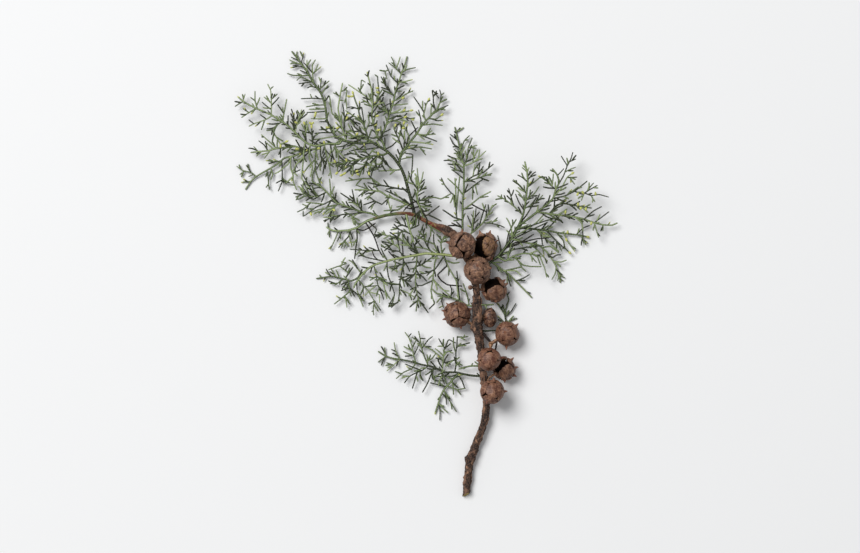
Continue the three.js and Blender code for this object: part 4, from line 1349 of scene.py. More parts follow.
@dataclass
class Studio:
    """White card, one soft key light from the upper left of the picture, pale room and the camera.

    The camera looks straight down with +Y up in the picture, and its frame is 688 mm wide on
    the card, so that a pixel of the photo's 860 is 0.8 mm. Aim, frame, lens and sensor are in
    millimetres, the other lengths in metres, and the key light's power in watts.
    """

    finish: FloorFinish
    aim: tuple[float, float] = (3.2, -2.8)
    frame_width: float = 688.0
    lens: float = 85.0
    sensor: float = 36.0
    farthest: float = 20.0
    card_half: float = 3.0
    key_place: tuple[float, float, float] = (-3.0, 2.8, 5.2)
    key_size: float = 3.2
    key_power: float = 395.0
    room_colour: str = "f2f4f6"
    room_strength: float = 0.36

    def put_up(self, name: str, data: bpy.types.ID) -> bpy.types.Object:
        """Puts an object with the given data into the scene."""
        thing = bpy.data.objects.new(name, data)
        bpy.context.scene.collection.objects.link(thing)
        return thing

    def floor(self) -> None:
        """A flat card under the sprig, top face at z = 0."""
        half = self.card_half
        mesh = bpy.data.meshes.new("card")
        corners = [(-half, -half, 0), (half, -half, 0), (half, half, 0), (-half, half, 0)]
        mesh.from_pydata(corners, [], [(0, 1, 2, 3)])
        mesh.materials.append(self.finish.material())
        self.put_up("card", mesh)

    def key_light(self) -> None:
        """A square area light that faces the middle of the sprig."""
        data = bpy.data.lights.new("key", "AREA")
        data.size = self.key_size
        data.energy = self.key_power
        lamp = self.put_up("key", data)
        lamp.location = self.key_place
        lamp.rotation_euler = (-Vector(self.key_place)).to_track_quat("-Z", "Y").to_euler()

    def room(self) -> None:
        """Pale surroundings, which fill the shadows."""
        world = bpy.data.worlds.new("pale_room")
        world.use_nodes = True
        background = world.node_tree.nodes["Background"]
        background.inputs["Color"].default_value = srgb(self.room_colour)
        background.inputs["Strength"].default_value = self.room_strength
        bpy.context.scene.world = world

    def camera(self) -> None:
        """The camera, as high as its lens needs for the width of its frame."""
        data = bpy.data.cameras.new("camera")
        data.lens = self.lens
        data.sensor_width = self.sensor
        data.clip_end = self.farthest
        holder = self.put_up("camera", data)
        distance = self.frame_width * MM * self.lens / self.sensor
        holder.location = (self.aim[0] * MM, self.aim[1] * MM, distance)
        bpy.context.scene.camera = holder

    def build(self) -> None:
        """Puts up the card, the light, the pale surroundings and the camera."""
        self.floor()
        self.key_light()
        self.room()
        self.camera()
        bpy.context.scene.view_settings.view_transform = "Standard"


def all_sprays() -> list[Spray]:
    """The sprays in the order in which they are seated, with the seats and heights of the solids."""
    return [
        Spray(
            "upper_branch", "main_stem", "-9,46.2", (8, 9, 10, 10, 8, 5, 3, 1.2), (1.35, 0.72),
            """-11,55 -14,66 -17,77 -20,84 -25,91 -31,97 -43,104 -52,103 -60,104 -68,106 -72,109 -76,115
            -79,122 -80,132 -82,139 -84,144 -90,152 -95,161 -98,165 -104,173 -107.5,177.5""",
            """-90,152 -91,162 -91,166 -88,170.5; -100,166 -104,168 -109.5,170.5; -101,170 -108,172.5;
            -103,173 -103,177.5; -102,170 -102,174; -99,163 -106.5,166; -96,158 -101,162;
            -93,158 -99,157.5 -107,158 -111,159.5; -92,151 -100,156.5 -103.5,153.5; -92,151 -102,151;
            -88,147 -92,149 -95,147.5; -99,168 -97.5,176.5; -95,161 -95,170.5; -92,160 -97.5,168;
            -90,159 -83.5,165; -89,161 -86,167; -84,147 -81,150 -77,153.5; -83,143 -80.5,147 -78,150;
            -84,147 -83.5,156; -83,138.5 -91,139.5 -100,139; -91,139.5 -92.5,143;
            -81,134 -88,133.5 -96,132.5; -80,131 -93.5,130.5; -80,129 -86,128.5 -95.5,128; -79,123 -92,123;
            -79,120 -85,120.5; -78,116 -80,114 -85.5,114; -75,111 -82,112 -89,111; -75,107 -90,106;
            -80,132 -80.5,141; -20,82 -25,81.5 -38,81; -25,81.5 -29,78; -26,82 -33,88 -40,97;
            -64,107 -59,103 -54,100; -15,66 -21,67 -30,69 -36,70 -47,72; -22,67 -22,70.5; -30,69 -34,74.5;
            -36,70 -43,75 -50,75 -64.5,73; -50,103.5 -56,108 -64,110 -72,108; -44,104 -50,108 -58,109;
            -38,102 -44,106 -52,107 -60,110; -60,104 -66,101 -74,100; -36,100 -42,99 -50,98 -58,98;
            -56,103.5 -62,99 -70,97; -68,106 -74,102 -80,103; -40,103 -36,108 -30,110;
            -33,98 -27,101 -22,106!; -47,103.5 -52,99 -60,97!""",
            "-88,127.5 -89,123",
            spacing=6.0, yellow_tips=0.07, base_tone=-0.45,
        ),
        Spray(
            "spray_left_high", "upper_branch", "-67,106", (8, 11, 12, 12, 9, 5), (0.95, 0.62),
            """-69,102.6 -78,103 -88,101 -94,103 -99,107 -103,111 -108,116 -112,119 -123,126 -129,128.5
            -135,131 -141,134 -146,137 -150.5,141""",
            """-146,137 -144,143; -146,136 -152.5,132.5; -134,131 -136,137 -136,145; -136,137 -140,140;
            -135,130.5 -140,128 -147,123.5; -141,128 -146,131; -123,126 -123,134 -123.5,145 -126,150.5;
            -124,146 -121,148.5; -123,138 -118,142.5; -122.5,133 -116.5,140; -123,135 -129,140;
            -123,130 -130.5,136; -123,126 -126,129.5; -122,125 -127,122 -131,120.5 -137,118.5 -141,116.5;
            -127,122.5 -132,126; -137,119 -141,122; -128,121 -131,113.5;
            -114,120 -113,127 -112,132 -110.5,138.5; -113,127 -118,134; -104,113 -105,124 -107,130.5;
            -97,103 -97,98 -98,86 -99,75 -92,67; -87,101 -88,90 -88,82 -84,70; -81,102 -79,93 -77,86 -75,75;
            -73,103 -70,96 -69,90 -71,78; -92,102 -93,92 -90,84 -92,76; -84,102 -84,93 -81,86 -82,78;
            -76,103 -75,96 -72,88 -66,82; -98,92 -103,86 -106,80; -88,90 -93,85 -97,80; -79,93 -84,88 -87,82;
            -103,113 -98.5,130; -103,121 -98,127; -110,117 -109.5,125.5;
            -115,119 -119,117 -122,113.5 -115.5,102;
            -122,114 -127,113; -95,104 -96,115 -97,120.5*; -90,102 -91,112 -91,118*; -90,110 -96,116""",
            "-102,119 -92,119 -89,120 -109,105 -115.5,100.5 -104,98.5 -81,104 -85,99",
            yellow_tips=0.09,
        ),
        Spray(
            "spray_left_low", "spray_left_high", "-86,101.4", (10.5, 7, 4, 3, 2, 0.9), (0.85, 0.59),
            """-87.5,98.8 -92,98 -99,96 -105,93.5 -113,92 -119,87 -123,84.5 -131,80 -136,77 -140,73.5
            -144.5,66.5""",
            """-116,89 -121,88.5 -126,87; -121,88.5 -125.5,91; -136,77 -139,80 -147,82 -151.5,85.5;
            -140,80 -144,86.5; -145,81 -149,78.5; -138,78.5 -142,77; -140,73 -148,72.5;
            -127,82 -126,74 -126,70 -124.5,66; -126,70.5 -128,68; -124,84 -122,79 -124,74;
            -107,93 -110,87 -114,84 -117,81 -121,79; -107,91 -108,84 -106,78 -106,73 -103,66;
            -105,80 -100,82.5; -107,77 -112,71.5; -105,79 -102,77; -105,70 -109,70.5; -106,92 -102.5,83.5;
            -115,90 -115,84 -115,77 -115,73 -118,65; -115,77 -111.5,71; -116,74 -120,71.5""",
            yellow_tips=0.1,
        ),
        Spray(
            "spray_left_mid", "spray_left_low", "-96,97", (7.5, 7.5, 7, 6), (0.8, 0.59),
            "-104,101 -112,100 -121,99 -125,97.5 -131,97 -140,96",
            """-119,100 -124,104 -131.5,110.5; -122,100 -127.5,104; -126,98 -129,102 -133.5,105.5;
            -131,97.5 -135.5,93; -134,98 -137.5,101; -124,98 -129,91; -116,100 -116,91.5""",
            yellow_tips=0.1,
        ),
        Spray(
            "spray_tangle", "upper_branch", "-30,96", (11, 15, 15, 13), (0.85, 0.59),
            "-33,94 -42,93 -54,90 -64,88 -72,84",
            """-34,93 -35,84 -46,83; -37,93 -45,85 -56,87; -45,92 -50,84 -56,80*; -56,89 -60,82 -66,78*;
            -62,88 -66,84 -72,78*; -50,91 -55,94 -63,95; -39,90 -40,84 -45,80; -48,86 -52,80 -53,77;
            -58,88 -59,84 -63,80; -52,91 -57,86 -62,85; -66,87 -70,88 -75,86; -44,93 -48,96 -54,96;
            -60,89 -66,92; -50,84 -54,82 -60,80; -40,84 -44,86 -50,88; -35,88 -38,86 -43,89""",
            "-72,88 -63,89 -53,78 -68,77 -45,79 -38,96",
            yellow_tips=0.09,
        ),
        Spray(
            "spray_top_right", "upper_branch", "-32,97.6", (10, 7, 5, 5, 4, 3, 1), (0.95, 0.62),
            "-34,103 -36,108 -33,114 -31,120 -28,130 -26,136 -24,146 -22,151 -19,161 -17,166 -15,173.5",
            """-19,160 -15,162.5 -8,164; -20,159 -16.5,158; -20,159 -24,163 -30,168; -24,164 -26,169 -28,173;
            -23,164 -22,168 -20.5,173; -22,151 -28,157 -30,162 -32,166.5; -30,162 -33,161 -31,154;
            -28,157 -27,163; -21,152 -16,153 -10.5,154.5; -25,141 -29,145 -32,149 -36,157; -24,145 -19,145;
            -25,137 -20,140 -16,143 -10,145.5; -14,144 -12,148; -26,135 -30,135 -36,131.5!;
            -25,133 -20,134 -14,135; -25,134 -17,140.5*; -28,127 -20,128 -10,130*; -21,128 -16,130.5*;
            -29,122 -20,126; -30,120 -24,121.5 -17,124 -9,122*; -18,123 -15,125*;
            -29,126 -34,131 -37,140 -33,144; -29,130 -39,128.5""",
            yellow_tips=0.09,
        ),
        Spray(
            "spray_top_centre", "spray_top_right", "-35.8,107.6", (8, 10, 10, 9, 7), (0.85, 0.59),
            "-39,108.6 -40,114 -42,120 -43,126 -42,132 -43,146 -44,149 -47,160.5",
            """-42,131 -46,135 -51,138; -43,135 -47,140 -53,144 -62,150; -52,144 -51.5,154 -48,151.5;
            -46,156 -49,158.5; -43,142 -42,151; -41,135 -42,149; -40,131 -38,137 -37,144 -38,151 -38.5,157;
            -38.5,156 -41,158""",
            "-38.5,147 -38.5,143.5 -37,125 -39,118 -36,114",
            yellow_tips=0.09,
        ),
        Spray(
            "spray_top_mid", "upper_branch", "-46,103.6", (11, 13.5, 14, 13), (0.8, 0.59),
            "-47,110 -50,119 -53,125 -54,131 -56,136 -58.5,144.5*",
            """-49,118 -52,121.5 -64,129; -55,130 -59,132 -63,131; -52,129 -51,132 -49,119;
            -47,109 -52,112 -57,116 -58,123; -47,108 -55,109 -60,114 -62,119; -48,113 -45,119 -46,126""",
            "-59,140 -61.5,140 -55,110",
            yellow_tips=0.09,
        ),
        Spray(
            "spray_top_inner", "upper_branch", "-63,104.6", (8, 5, 4, 3), (0.8, 0.59),
            "-66,114 -68,119 -70,131 -69,138 -68,144 -66.5,152",
            """-69,138 -65.5,137.5; -69,141 -74.5,144; -68,145 -63,146.5 -64,140 -63,130;
            -70,123 -75,127 -77,141.5; -66,112 -65,125 -66.5,135; -65,120 -62,125*;
            -64,121 -60,123 -54,117""",
            "-72,115 -80,116",
            yellow_tips=0.09,
        ),
        Spray(
            "spray_upper_right", "upper_branch", "-21.5,86", (10, 11, 11, 10, 8, 5, 3), (0.95, 0.62),
            "-20,95 -15,101 -11,106 -7,111 -4,116 0,121 4,125 6,128 9,130 11,136 17,139",
            """0,121 -2,126 0,134 3,139.5*; -2,128 -10,140.5; -4,115 -4,122 -6,130; 4,125 4,130 5,135;
            7,130 6,136 6,140 5,146 10.5,139; 11,137 12,142 10.8,146.5; 12,142 14.8,144; 9,130 18,133.8;
            15.5,132.5 12,129.5!; 5,126 15,132; 4,121 8,122.5 14,127*; 4,120 9,121 14,121.5;
            -2,117 6,118.5 13.5,117.3; -7,110 -2,109.5 8,110.5; -6,107 9,104.5; -3,104.5 0,109 4,115.5;
            -12,104 0,103 6,102; -18,99 -5,100 5,98.5; -5,100 0,93.5; -16,101 -14,108 -6,116!;
            -14,104 -13,107 -18,118; -8,110 -8,114 -12,121.5; -18,102 -20,112 -19,118;
            -19,98 -22,107 -25,113 -24,119*; 0,133 -1,136""",
            "-17,115.5 -17,120",
            yellow_tips=0.1,
        ),
        Spray(
            "leader_shoot", "main_stem", "end", (6.9, 4.5, 3.5, 2.5, 1), (1.05, 0.62),
            "-47,41.5 -51,39 -55,36 -62,34 -70,33.5 -75,34 -80,37",
            """-78,36 -78.5,40.5; -77,34 -79,30.5; -70,33 -72,28 -76.5,18.5; -67,33 -71,25;
            -60,34 -62,29 -66,25 -70,20; -64,26 -68,19.5; -63,26 -65,20; -60,30 -59,20;
            -55,35 -55,27 -56,21 -57,11; -55,25 -62,24; -48,40 -45,35 -42,30 -40,25 -38,19 -34,12!;
            -38,17.5 -44,18 -52,18.5 -61,19; -52,18 -56,14; -55,35 -50,34 -46,36 -40,40!;
            -46,40 -39,35 -41,31!""",
        ),
        Spray(
            "spray_leader_upper", "main_stem", "-37,44.5", (8, 6, 5.5, 5, 4, 2.5, 1), (0.95, 0.59),
            "-44,47.5 -53,49 -58,51 -68,54.5 -72,56 -79,64 -83,68 -91,73 -91,78 -88,86",
            """-50,49 -55,55 -60,58.5 -68.5,64; -56,57 -58,62 -59,67; -54,53 -52,58; -76,60 -77,75.5;
            -84,69 -85.5,76; -80,64 -86,61 -90,64 -93,68 -97,76 -99,80; -86,60 -97,61.5 -101,69;
            -84,62 -90,58.5 -95,61.5; -92,62 -95,64.5 -104.5,60.5; -96,65 -100,71;
            -75,58 -81,55 -87,53 -95,47 -98,45; -98.5,46 -98,50; -82,56 -96,56.5; -92,56 -97,51 -103,48.5;
            -95,53.5 -99,55; -70,55 -75,51 -85,50.5 -94,47.5; -82,50 -86,47; -72,56 -75,65;
            -49,48 -57,47 -66,46.5 -72,45 -82,41.5; -72,50 -78,44.5; -60,47 -54,38.5""",
            "-92,48 -74,50.5",
        ),
        Spray(
            "spray_leader_lower", "main_stem", "-16,47.6", (8, 12, 12, 12), (1.0, 0.72),
            "-14,38 -13,34 -11,28 -9.5,24",
            "-14,36 -25,41; -12,31 -18,33 -27,36.5; -12.5,34 -10,38 -10,46",
        ),
        Spray(
            "spray_fork_left", "upper_branch", "-10.4,52.5", (8, 12.5, 13.5, 13), (0.8, 0.59),
            "-16,55 -20,57 -31,61 -36,64.5 -40,65 -48,66 -57,66",
            """-44,66 -55,69.5; -48,65 -54,60.5; -40,64 -45,61 -49,58.5; -29,59 -35,54 -41,57 -46,61.5;
            -41,57 -50,54; -40,56 -46,51; -14,55 -20,59.5 -27,63 -33,66; -28,56 -28,50 -27,54;
            -16,54 -22,50 -34,49.5""",
        ),
        Spray(
            "tuft_fork", "main_stem", "-1,42", (8.5, 12, 15, 16), (0.8, 0.59),
            "-4,50 -7,58 -6.5,65 -5.5,70 -7,76 -9,79",
            """-6,64 0.5,69; -6,61 -1,64.5; -5,68 -3,74 -2,80.5; -5.5,70 -7,83.5;
            -7,66 -12,74 -14,81; -8,66 -12,74 -11,85 -10.5,94 -17,95; -11,92 -20,90;
            -7,57 2,59.5 7,60 12,58.5 20,63; 0,59 3,61.5; -6,55 3,56; -6,53 4,52.5;
            -4,50 0,45 4,48 11,53.5!; 2,46 12.5,41!; -2,44 2,38 12,32; 3,37 7,31;
            -4,50 -9,46 -13,40!; -5,53 -12,51 -17,52!; -4,50 -8,44 -10,37; -6,58 -12,55 -18,49!;
            -4,50 1,43 0,37!; -5,52 -1,48 1,52""",
        ),
        Spray(
            "spray_left_long", "main_stem", "31,15.5", (9, 8.5, 8, 8, 6, 4), (1.15, 0.72),
            "22,13.5 15,14.5 0,15.5 -14,13 -25,11 -36,8 -41,6.5 -46,3.5 -50,0 -53,-4 -56,-8 -58,-12.5",
            """-31,11 -36,20; -32,10 -40,11 -47,12.5 -52,14; -39,9 -41,13 -43,18!; -24,12 -27,14 -30,17.5!;
            -17,14 -21,17.5 -28,18.5 -36,21.5; -21,17 -22,25 -22,34; -22,20 -26,23 -28,27;
            -26,23 -36,25.5; -26,23 -33,21; -16,16 -19,25!; -8,22 -16,27 -19,31;
            8,15 2,18.5 -3,20 -10,21; -10,20 -16,23 -22,28 -33,30 -39,32.5; -35,29.5 -39,27.5;
            -32,30 -34,34; -6,15 -9,22 -6,28 -2,39; 3,17 0,24 -3,37; 10,15 7,23 -1,26 -8,30;
            8,17 6.5,24 6,31!; 11,15 9,22!; 13,15 12,24 15,30; 12,24 17,27; 12.5,25 11,30; 13,26 18,31;
            9,14 7,8 6.5,2 5,-9 4,-14 5,-19 7,-25; 15,14 7,3 0,0 -6,-1;
            15,13 17,6 9,-1.5 12,-6 17,-9.5 29,-10.5!;
            5,-5 12,-12 20,-19; 5,-6 -3,-10 -7,-10; 13,14 16,9 18,4 21,-1 24,-6 26,-21; 15,10 22,8 27,8.5;
            -7,14 -7.5,8 -8,2 -8.5,-5 -8,-11 -7,-17 -4,-27; -8,-1 -14,-2 -22,-5.5; -8,9 -15,8 -22,6 -30,4.5;
            -8,4 -13,3; -7,5 -3,7 7,14; -8,-1 -3,-2 1,-7; -5,-2 -5.5,-4.5; -9,-11 -13,-13.5;
            -18,12 -18,7 -19,1 -20,-4 -21,-9 -21,-16 -22,-23 -29,-27; -20,-4 -15,-8 -10,-13;
            -20,-13 -14,-16 -8,-20; -21,-9 -28,-9 -34,-6 -41,-1; -7,-20 -8,-31; -8.5,-23 -11,-23;
            -5,-22 2,-32; 6,-22 7,-24 2,-29!; -5,-20 -4,-26.5; -25,11 -23,0; -31,5 -22,1;
            -31,9 -31,4 -30,-3 -28,-8 -25,-17 -30,-27; -24,-18 -27,-24 -30,-27.5; -22,-23 -25,-25 -28,-28;
            -41,5 -40,0 -39,-8 -37,-13 -33.5,-21; -39,-13 -33.5,-21.5!; -35,-7 -31,-21;
            -40,-3 -45,-6; -40,-2 -35,-7 -30,-8 -22,-9; -53,-9 -55,-14!;
            -53,-6 -49,-11 -46,-14 -43,-19 -37,-29; -42,-22.5 -46,-26; -41,-22 -42,-30 -41.7,-34;
            -42,-30 -43.5,-31; -41,-22 -36,-30!; -50,-10 -50,-19; -56,-15 -50,-27.5; -49,-11 -38,-10;
            -40,-12 -49,-18; -46,-15 -37,-17 -37,-24""",
            base_yellow=0.3, base_tone=0.1,
        ),
        Spray(
            "spray_left_end", "spray_left_long", "-52.4,-3.2", (5, 4, 2.5, 0.9), (0.8, 0.59),
            "-60,-6.5 -64,-5 -69,-4 -74,-2.5 -79,-3 -88,-4.5",
            """-84,-4 -85,-1; -80,-3 -82,-7; -76,-2.5 -80,3.5; -72,-3 -76,4; -69,-4 -72,3; -66,-5 -73,-10;
            -71,-8 -77,-8.5; -63,-6 -66,-2; -62,-6 -67,-13; -63,-9 -61,-12; -64,-4 -62,0 -69,5.5 -78,2.5;
            -69,5.5 -63,8 -68,9; -65,1 -61,7; -56,-5 -51,-1 -55,4 -59,9 -62,10.5; -54,4 -59,11;
            -63,-3 -58,5; -62,-6 -61,-14.5 -65,-18 -73.5,-25; -68,-20.5 -72,-18; -64.5,-18 -63,-28;
            -60,-12 -68,-14; -59,-15 -59.5,-19; -58,-12 -54,-18 -50,-27; -54,-18 -51,-19""",
        ),
        Spray(
            "spray_mid_low", "main_stem", "40.7,-27", (9, 4, 3.4, 3, 2), (0.8, 0.57),
            "32,-25.5 28,-22.5 24,-21 20,-19.5 14,-17.5 8,-16 4,-12",
            """27,-22 26,-15 24.5,2; 34.5,-26 33,-19 29.5,-8; 22,-20 9,-18.5; 20,-19 20.5,-13 19,-9.5;
            14,-17 12,-22 14,-28; 14,-26 10,-28""",
        ),
        Spray(
            "twig_across_stem", "main_stem", "41,-25", (10, 12, 12), (0.7, 0.6),
            "48,-25.5 54,-25", "47,-25.8 48.5,-28.6",
        ),
        Spray(
            "spray_bottom_left", "main_stem", "45.7,-82.5", (7.6, 6, 5, 4.5, 3.5, 2.5, 1), (0.9, 0.59),
            """35,-81.5 28,-80 24,-79 14,-79 8,-75.5 3,-74 -3,-73 -14,-70 -20,-69 -27,-68 -32,-66.5
            -38.5,-62.5""",
            """-32.5,-66 -33,-59; -32,-67.5 -38.5,-71.5; -21,-68.5 -24,-62 -25.5,-55; -24,-63 -28,-61;
            -21,-70 -26,-74 -31.5,-78.5; -27,-72.5 -32,-71.5; -8,-71 -10,-64 -11,-58 -13.5,-51.5 -17,-47;
            -13.5,-50.5 -11.5,-48; -10,-62 -18,-58.5; -9.5,-66.5 -18.5,-62.5; -10,-59 -8,-54; -9,-65 -5,-55.5;
            -8,-72 -11,-76 -18,-79 -24,-84.5; -13,-76 -16,-74; -20,-80 -25,-78.5;
            2,-75 -3,-78 -8,-80 -13,-82.5 -17.5,-88; -3,-78 -10,-75.5 -17,-72.5; -13,-82 -19,-82;
            -7,-80 -9,-87 -11,-92.5; -4,-80 -5,-83 -3,-85.5; 2,-73 -1,-67 -3,-61 -4,-55 -5,-50 -6,-46;
            -3,-60 2,-53 5.5,-50.5; -5,-55 -11.5,-51; -4,-52 0,-52.5; -3,-65 -5.5,-61; -2,-58 5,-61 13,-68;
            2,-70 5,-68 8,-64; 13,-78 13.5,-72 14,-66 15,-60; 14,-60 10,-52; 13,-59 9,-58.5;
            16,-60.5 20,-56; 14,-61 18,-53 24,-56; 14,-66 7,-60; 13,-70 9,-66; 13,-68 17,-62 22,-64;
            15,-71 20,-73; 23,-78 24,-72 23.5,-64 24.5,-58 25,-50; 24.5,-59 29,-57 35.5,-55.5;
            25,-51 30,-51.5 34,-50.5; 30,-51.5 31,-49; 23,-63 22,-57 22,-51; 24,-69 15,-71.5; 24,-69 27,-67;
            25,-70 27,-75; 13,-78 13,-84 15,-89; 6,-76 1,-88 -3,-95.5; 5,-76 5,-84 8,-86 16,-86;
            6,-83 21,-82.5""",
            base_tone=-1.3,
        ),
        Spray(
            "spray_bottom_down", "spray_bottom_left", "26.5,-79.6", (5, 3.5, 2.5, 1.2), (0.85, 0.59),
            "22,-84 20,-86.5 16,-90.5 14,-93 11.5,-98 10,-103 7,-113",
            """14.5,-93 16,-98 20,-104 24.5,-111; 13,-96 16,-100 16.5,-105.5; 10,-104 14,-108.5 18,-112;
            10,-104 11,-110 11,-118; 11,-109 14,-111.5; 15,-90 8,-88.5 3,-87.5; 16,-90 21,-92 25,-93.5 32,-92;
            25,-94 28,-97.5; 21,-86 22,-91 22,-97.5; 22,-90 24.5,-87.5; 22,-84 26.5,-82 29,-86 31,-92""",
        ),
        Spray(
            "twig_bottom", "main_stem", "44.8,-74", (8, 7, 6), (0.7, 0.6),
            "36,-74 31,-75 26,-76.5", "36,-74 37.5,-71.5",
        ),
        Spray(
            "spray_centre_up", "main_stem", "24,27", (9, 9.5, 9, 8, 6, 4, 2, 0.9), (0.95, 0.62),
            "29,33 29,44 29,56 30,66 30,86 28,94 25,108 23,117",
            """28,42 22,44 13,50.5; 25,45 24,54 23,62 20,64 15,70 12,76; 15,70.5 12,71;
            24,50 25.5,60 27,78; 30,62 24,69 17,75.5; 29,75 24,80 21,82; 29,80 19,85; 30,84 24,88 17,91;
            30,88 26,91 20,91; 28,94 22,99; 26,92 24,96; 27,100 22,103 19,109; 26,106 19,111; 24,56 23,76;
            21,62 23,52; 29,50 34,53 38,56 43,60 52,65; 43,60 50,61; 30,63 35,67 40,71 46,75; 39,70 43,71;
            39,70 41,62; 38,68 37,58; 30,72 38,77 46,80 54,87; 31,73 42,76 53,79.5; 37,77 39,87; 41,79 43,87;
            31,85 37,88 42,92 48,97.5; 38,88 44,91; 37,89 38,99; 42,92 43,99; 30,86 33,92 33.5,100 37,108;
            33,100 41,102; 28,98 31,106 35,110; 28,95 31,101; 25,112 27.5,116.5; 30,58 32,60;
            36,55 42,51.5 48.5,48.6!; 24,36 20,40!; 26,35 21,38!; 28,36 24,41!; 22,34 17,37.5!""",
        ),
        Spray(
            "spray_centre_right", "main_stem", "27.6,22.4", (9, 5, 4, 3), (0.8, 0.59),
            "35,31 41,36 46,41 50,48 53.5,54.5",
            """45,40 52,39.5 60,37.5 63,36; 52,40 57.5,44.5; 42,38 45,46 48,55; 38,34 33,46; 36,33 38,50;
            48,46 49,44; 37,34 39,44 40,52!; 39,42 36,47!; 39,44 43,49!; 38.5,39 42,43!; 30,25 34,18 36,10!;
            36,27 39,17 38,9!; 40,28 37,20 33,13!""",
        ),
        Spray(
            "spray_right_main", "main_stem", "38.4,-2", (9.5, 9.5, 11, 12, 12, 12, 10), (1.05, 0.65),
            "51,8 58,14 63,20 68,27 73,36 77,45 79,54 80,64 81,72 80.5,80 78.5,89",
            """67,28 67.5,36 65,42 63.5,44; 67.5,36 72,43; 76,46 70,53 62,59 56.5,61.5; 60,60 60,62.5;
            70,54 67,62 65.5,67.5; 78,56 74,64 71,66; 76,50 74,56 71,63!; 80,63 74,70 68.5,73.5;
            79.5,63 75,69 69,74.5; 81,72 76,76 72.5,78; 80,80 76,84; 81,74 85,79 87.5,80.5; 81,76 83,81.5;
            80.5,80 82,84; 81,68 87,73 92,77 95,73; 79.5,58 86,63 90,69; 80,57 85,65; 79,51 88,57 93,62;
            59,16 59,23 57,30!; 59,20 60,18!; 53,9 60,15 66,24!; 54,10 63,16 71,20!; 52,9 55,17 55,25!;
            60,16 66,25 67,32!; 50,7 45,13!; 62,19 70,24 76,25!; 66,25 74,31 80,33!; 41,2 36,8 35,14!;
            42,3 44,9 40,14!; 62,18 72,28 84,34 96,40; 64,20 76,24 88,27 98,28!; 68,28 78,33 88,40 95,48;
            60,15 70,19 82,21 94,22; 66,26 72,36 80,46 86,56!; 72,34 84,38 96,42 106,44;
            58,14 64,22 66,32 70,40!; 63,20 72,22 80,27 86,31!""",
            base_tone=-0.5,
        ),
        Spray(
            "spray_right_top", "spray_right_main", "74,38", (12, 14, 15.5, 16, 15, 14), (0.9, 0.62),
            "80,42 88,48 96,54 101,59 103,66 106,72 104,78 100,83",
            """103,66 98,70 92,77; 101,70 101,79; 103,60 108,68 112,76 117.5,80*; 107,70 109,77 112,85 107,93;
            112,85 115,91 116.5,96; 114,88 119,90.5; 110,80 119,84; 106,78 109.5,83; 113,75 120,76;
            114,75 118,70; 102,58 110,61 118,65 128,73; 112,62 121,68.5; 118,64 124,62 130,66 136,69.5;
            126,66 133,71.5; 126,63 131,61 137,62 145,60; 131,61 134,56; 125,63 123,57""",
            "134,64 120,62 124,64",
            yellow_tips=0.1,
        ),
        Spray(
            "spray_right_far", "spray_right_top", "88.5,48.4", (14, 11, 10, 9, 7, 5), (0.85, 0.59),
            "98,47 107,46 117,45 126,43 134,40 141,38.5 148,38 153,40",
            """126,43 133,49 140,53; 134,40 141,45 146,49; 134,40 136,34 137.5,28; 141,39 141,33;
            145,38 147,41; 118,45 124,40 125,33; 98,47 104,54 110,55 120,53 132,51.5; 124,43 125,28!""",
            "111,50 121,56 127,51 123,52 131,38",
            yellow_tips=0.1,
        ),
        Spray(
            "spray_right_mid", "spray_right_main", "73,36", (11, 7, 5, 4, 3, 2), (0.85, 0.59),
            "86,35 96,34 106,32 116,31 124,30 131,28.5*",
            """124,30 126,26 128,22; 125,29 126,23.5; 120,31 126,36 131,38; 110,31 113,25 119,17;
            104,32 110,26 111,20 116,15*; 112,28.5 112.5,25*; 96,35 104,43 107,46; 96,34 104,26 111,19;
            103,26 108.5,17; 88,34 98,25 106,17; 92,35 97,41; 98,25 103,23""",
            "113,32",
            yellow_tips=0.1,
        ),
        Spray(
            "spray_right_low", "spray_right_main", "68,27", (10, 9, 8, 6, 4, 2, 0.9), (0.85, 0.59),
            "80,24 90,22 96,17 100,12 103,7 105,2 107,-3 107.5,-8",
            """103,4 103,-0.5 100.3,-5.5; 104,3 107,0!; 105,1 106,-3 105,-6.5; 106,-4 110,-6.5;
            107,-1 111.3,-4; 101,9 104,9 108,8.5 112.5,10.5; 98,14 101,12 104,14.5 108,14.5!;
            97,14 100,15 104,16; 100,15 100.5,18; 92,20 99,21 106,16; 84,23 92,15 97,9; 93,19 94,13""",
        ),
        Spray(
            "spray_right_under", "spray_right_main", "52,9", (9, 5, 3, 2, 0.9), (0.8, 0.59),
            "60,3 66,-1 73,-8 80,-15 85,-20",
            """72,-6 78,-4 83,-1; 80,-15 84,-16; 64,0 67,-8 68,-11; 62,3 72,2 76,-2; 64,2 76,5 80,1;
            56,5 58,1""",
        ),
        Spray(
            "spray_right_inner", "spray_right_main", "57,13.2", (10, 13.5, 14.5, 14, 12), (0.8, 0.59),
            "63,9.5 70,14 78,16 85,15 92,13",
            """82,15 88,8; 88,14 91,6; 90,13 94,4 96,-4; 70,12 77,6 83,5 92,5; 68,12 75,11; 64,12 68,24;
            66,14 70,24""",
        ),
        Spray(
            "twig_right", "main_stem", "43,-46", (9.5, 4, 1.6, 1.4, 0.9), (0.75, 0.6),
            "52,-46.2 56,-46 64,-39 63,-33 57,-24",
            """63,-35 68,-31 72,-24; 64,-38 66,-39 73,-36; 63,-32 66,-21 64,-15; 64,-18 67,-15!;
            61,-38 57,-34; 60,-29 61,-26!; 64,-24 64.2,-27.7!; 58,-26 56.2,-24""",
            tone=0.35, base_tone=-1.4,
        ),
    ]


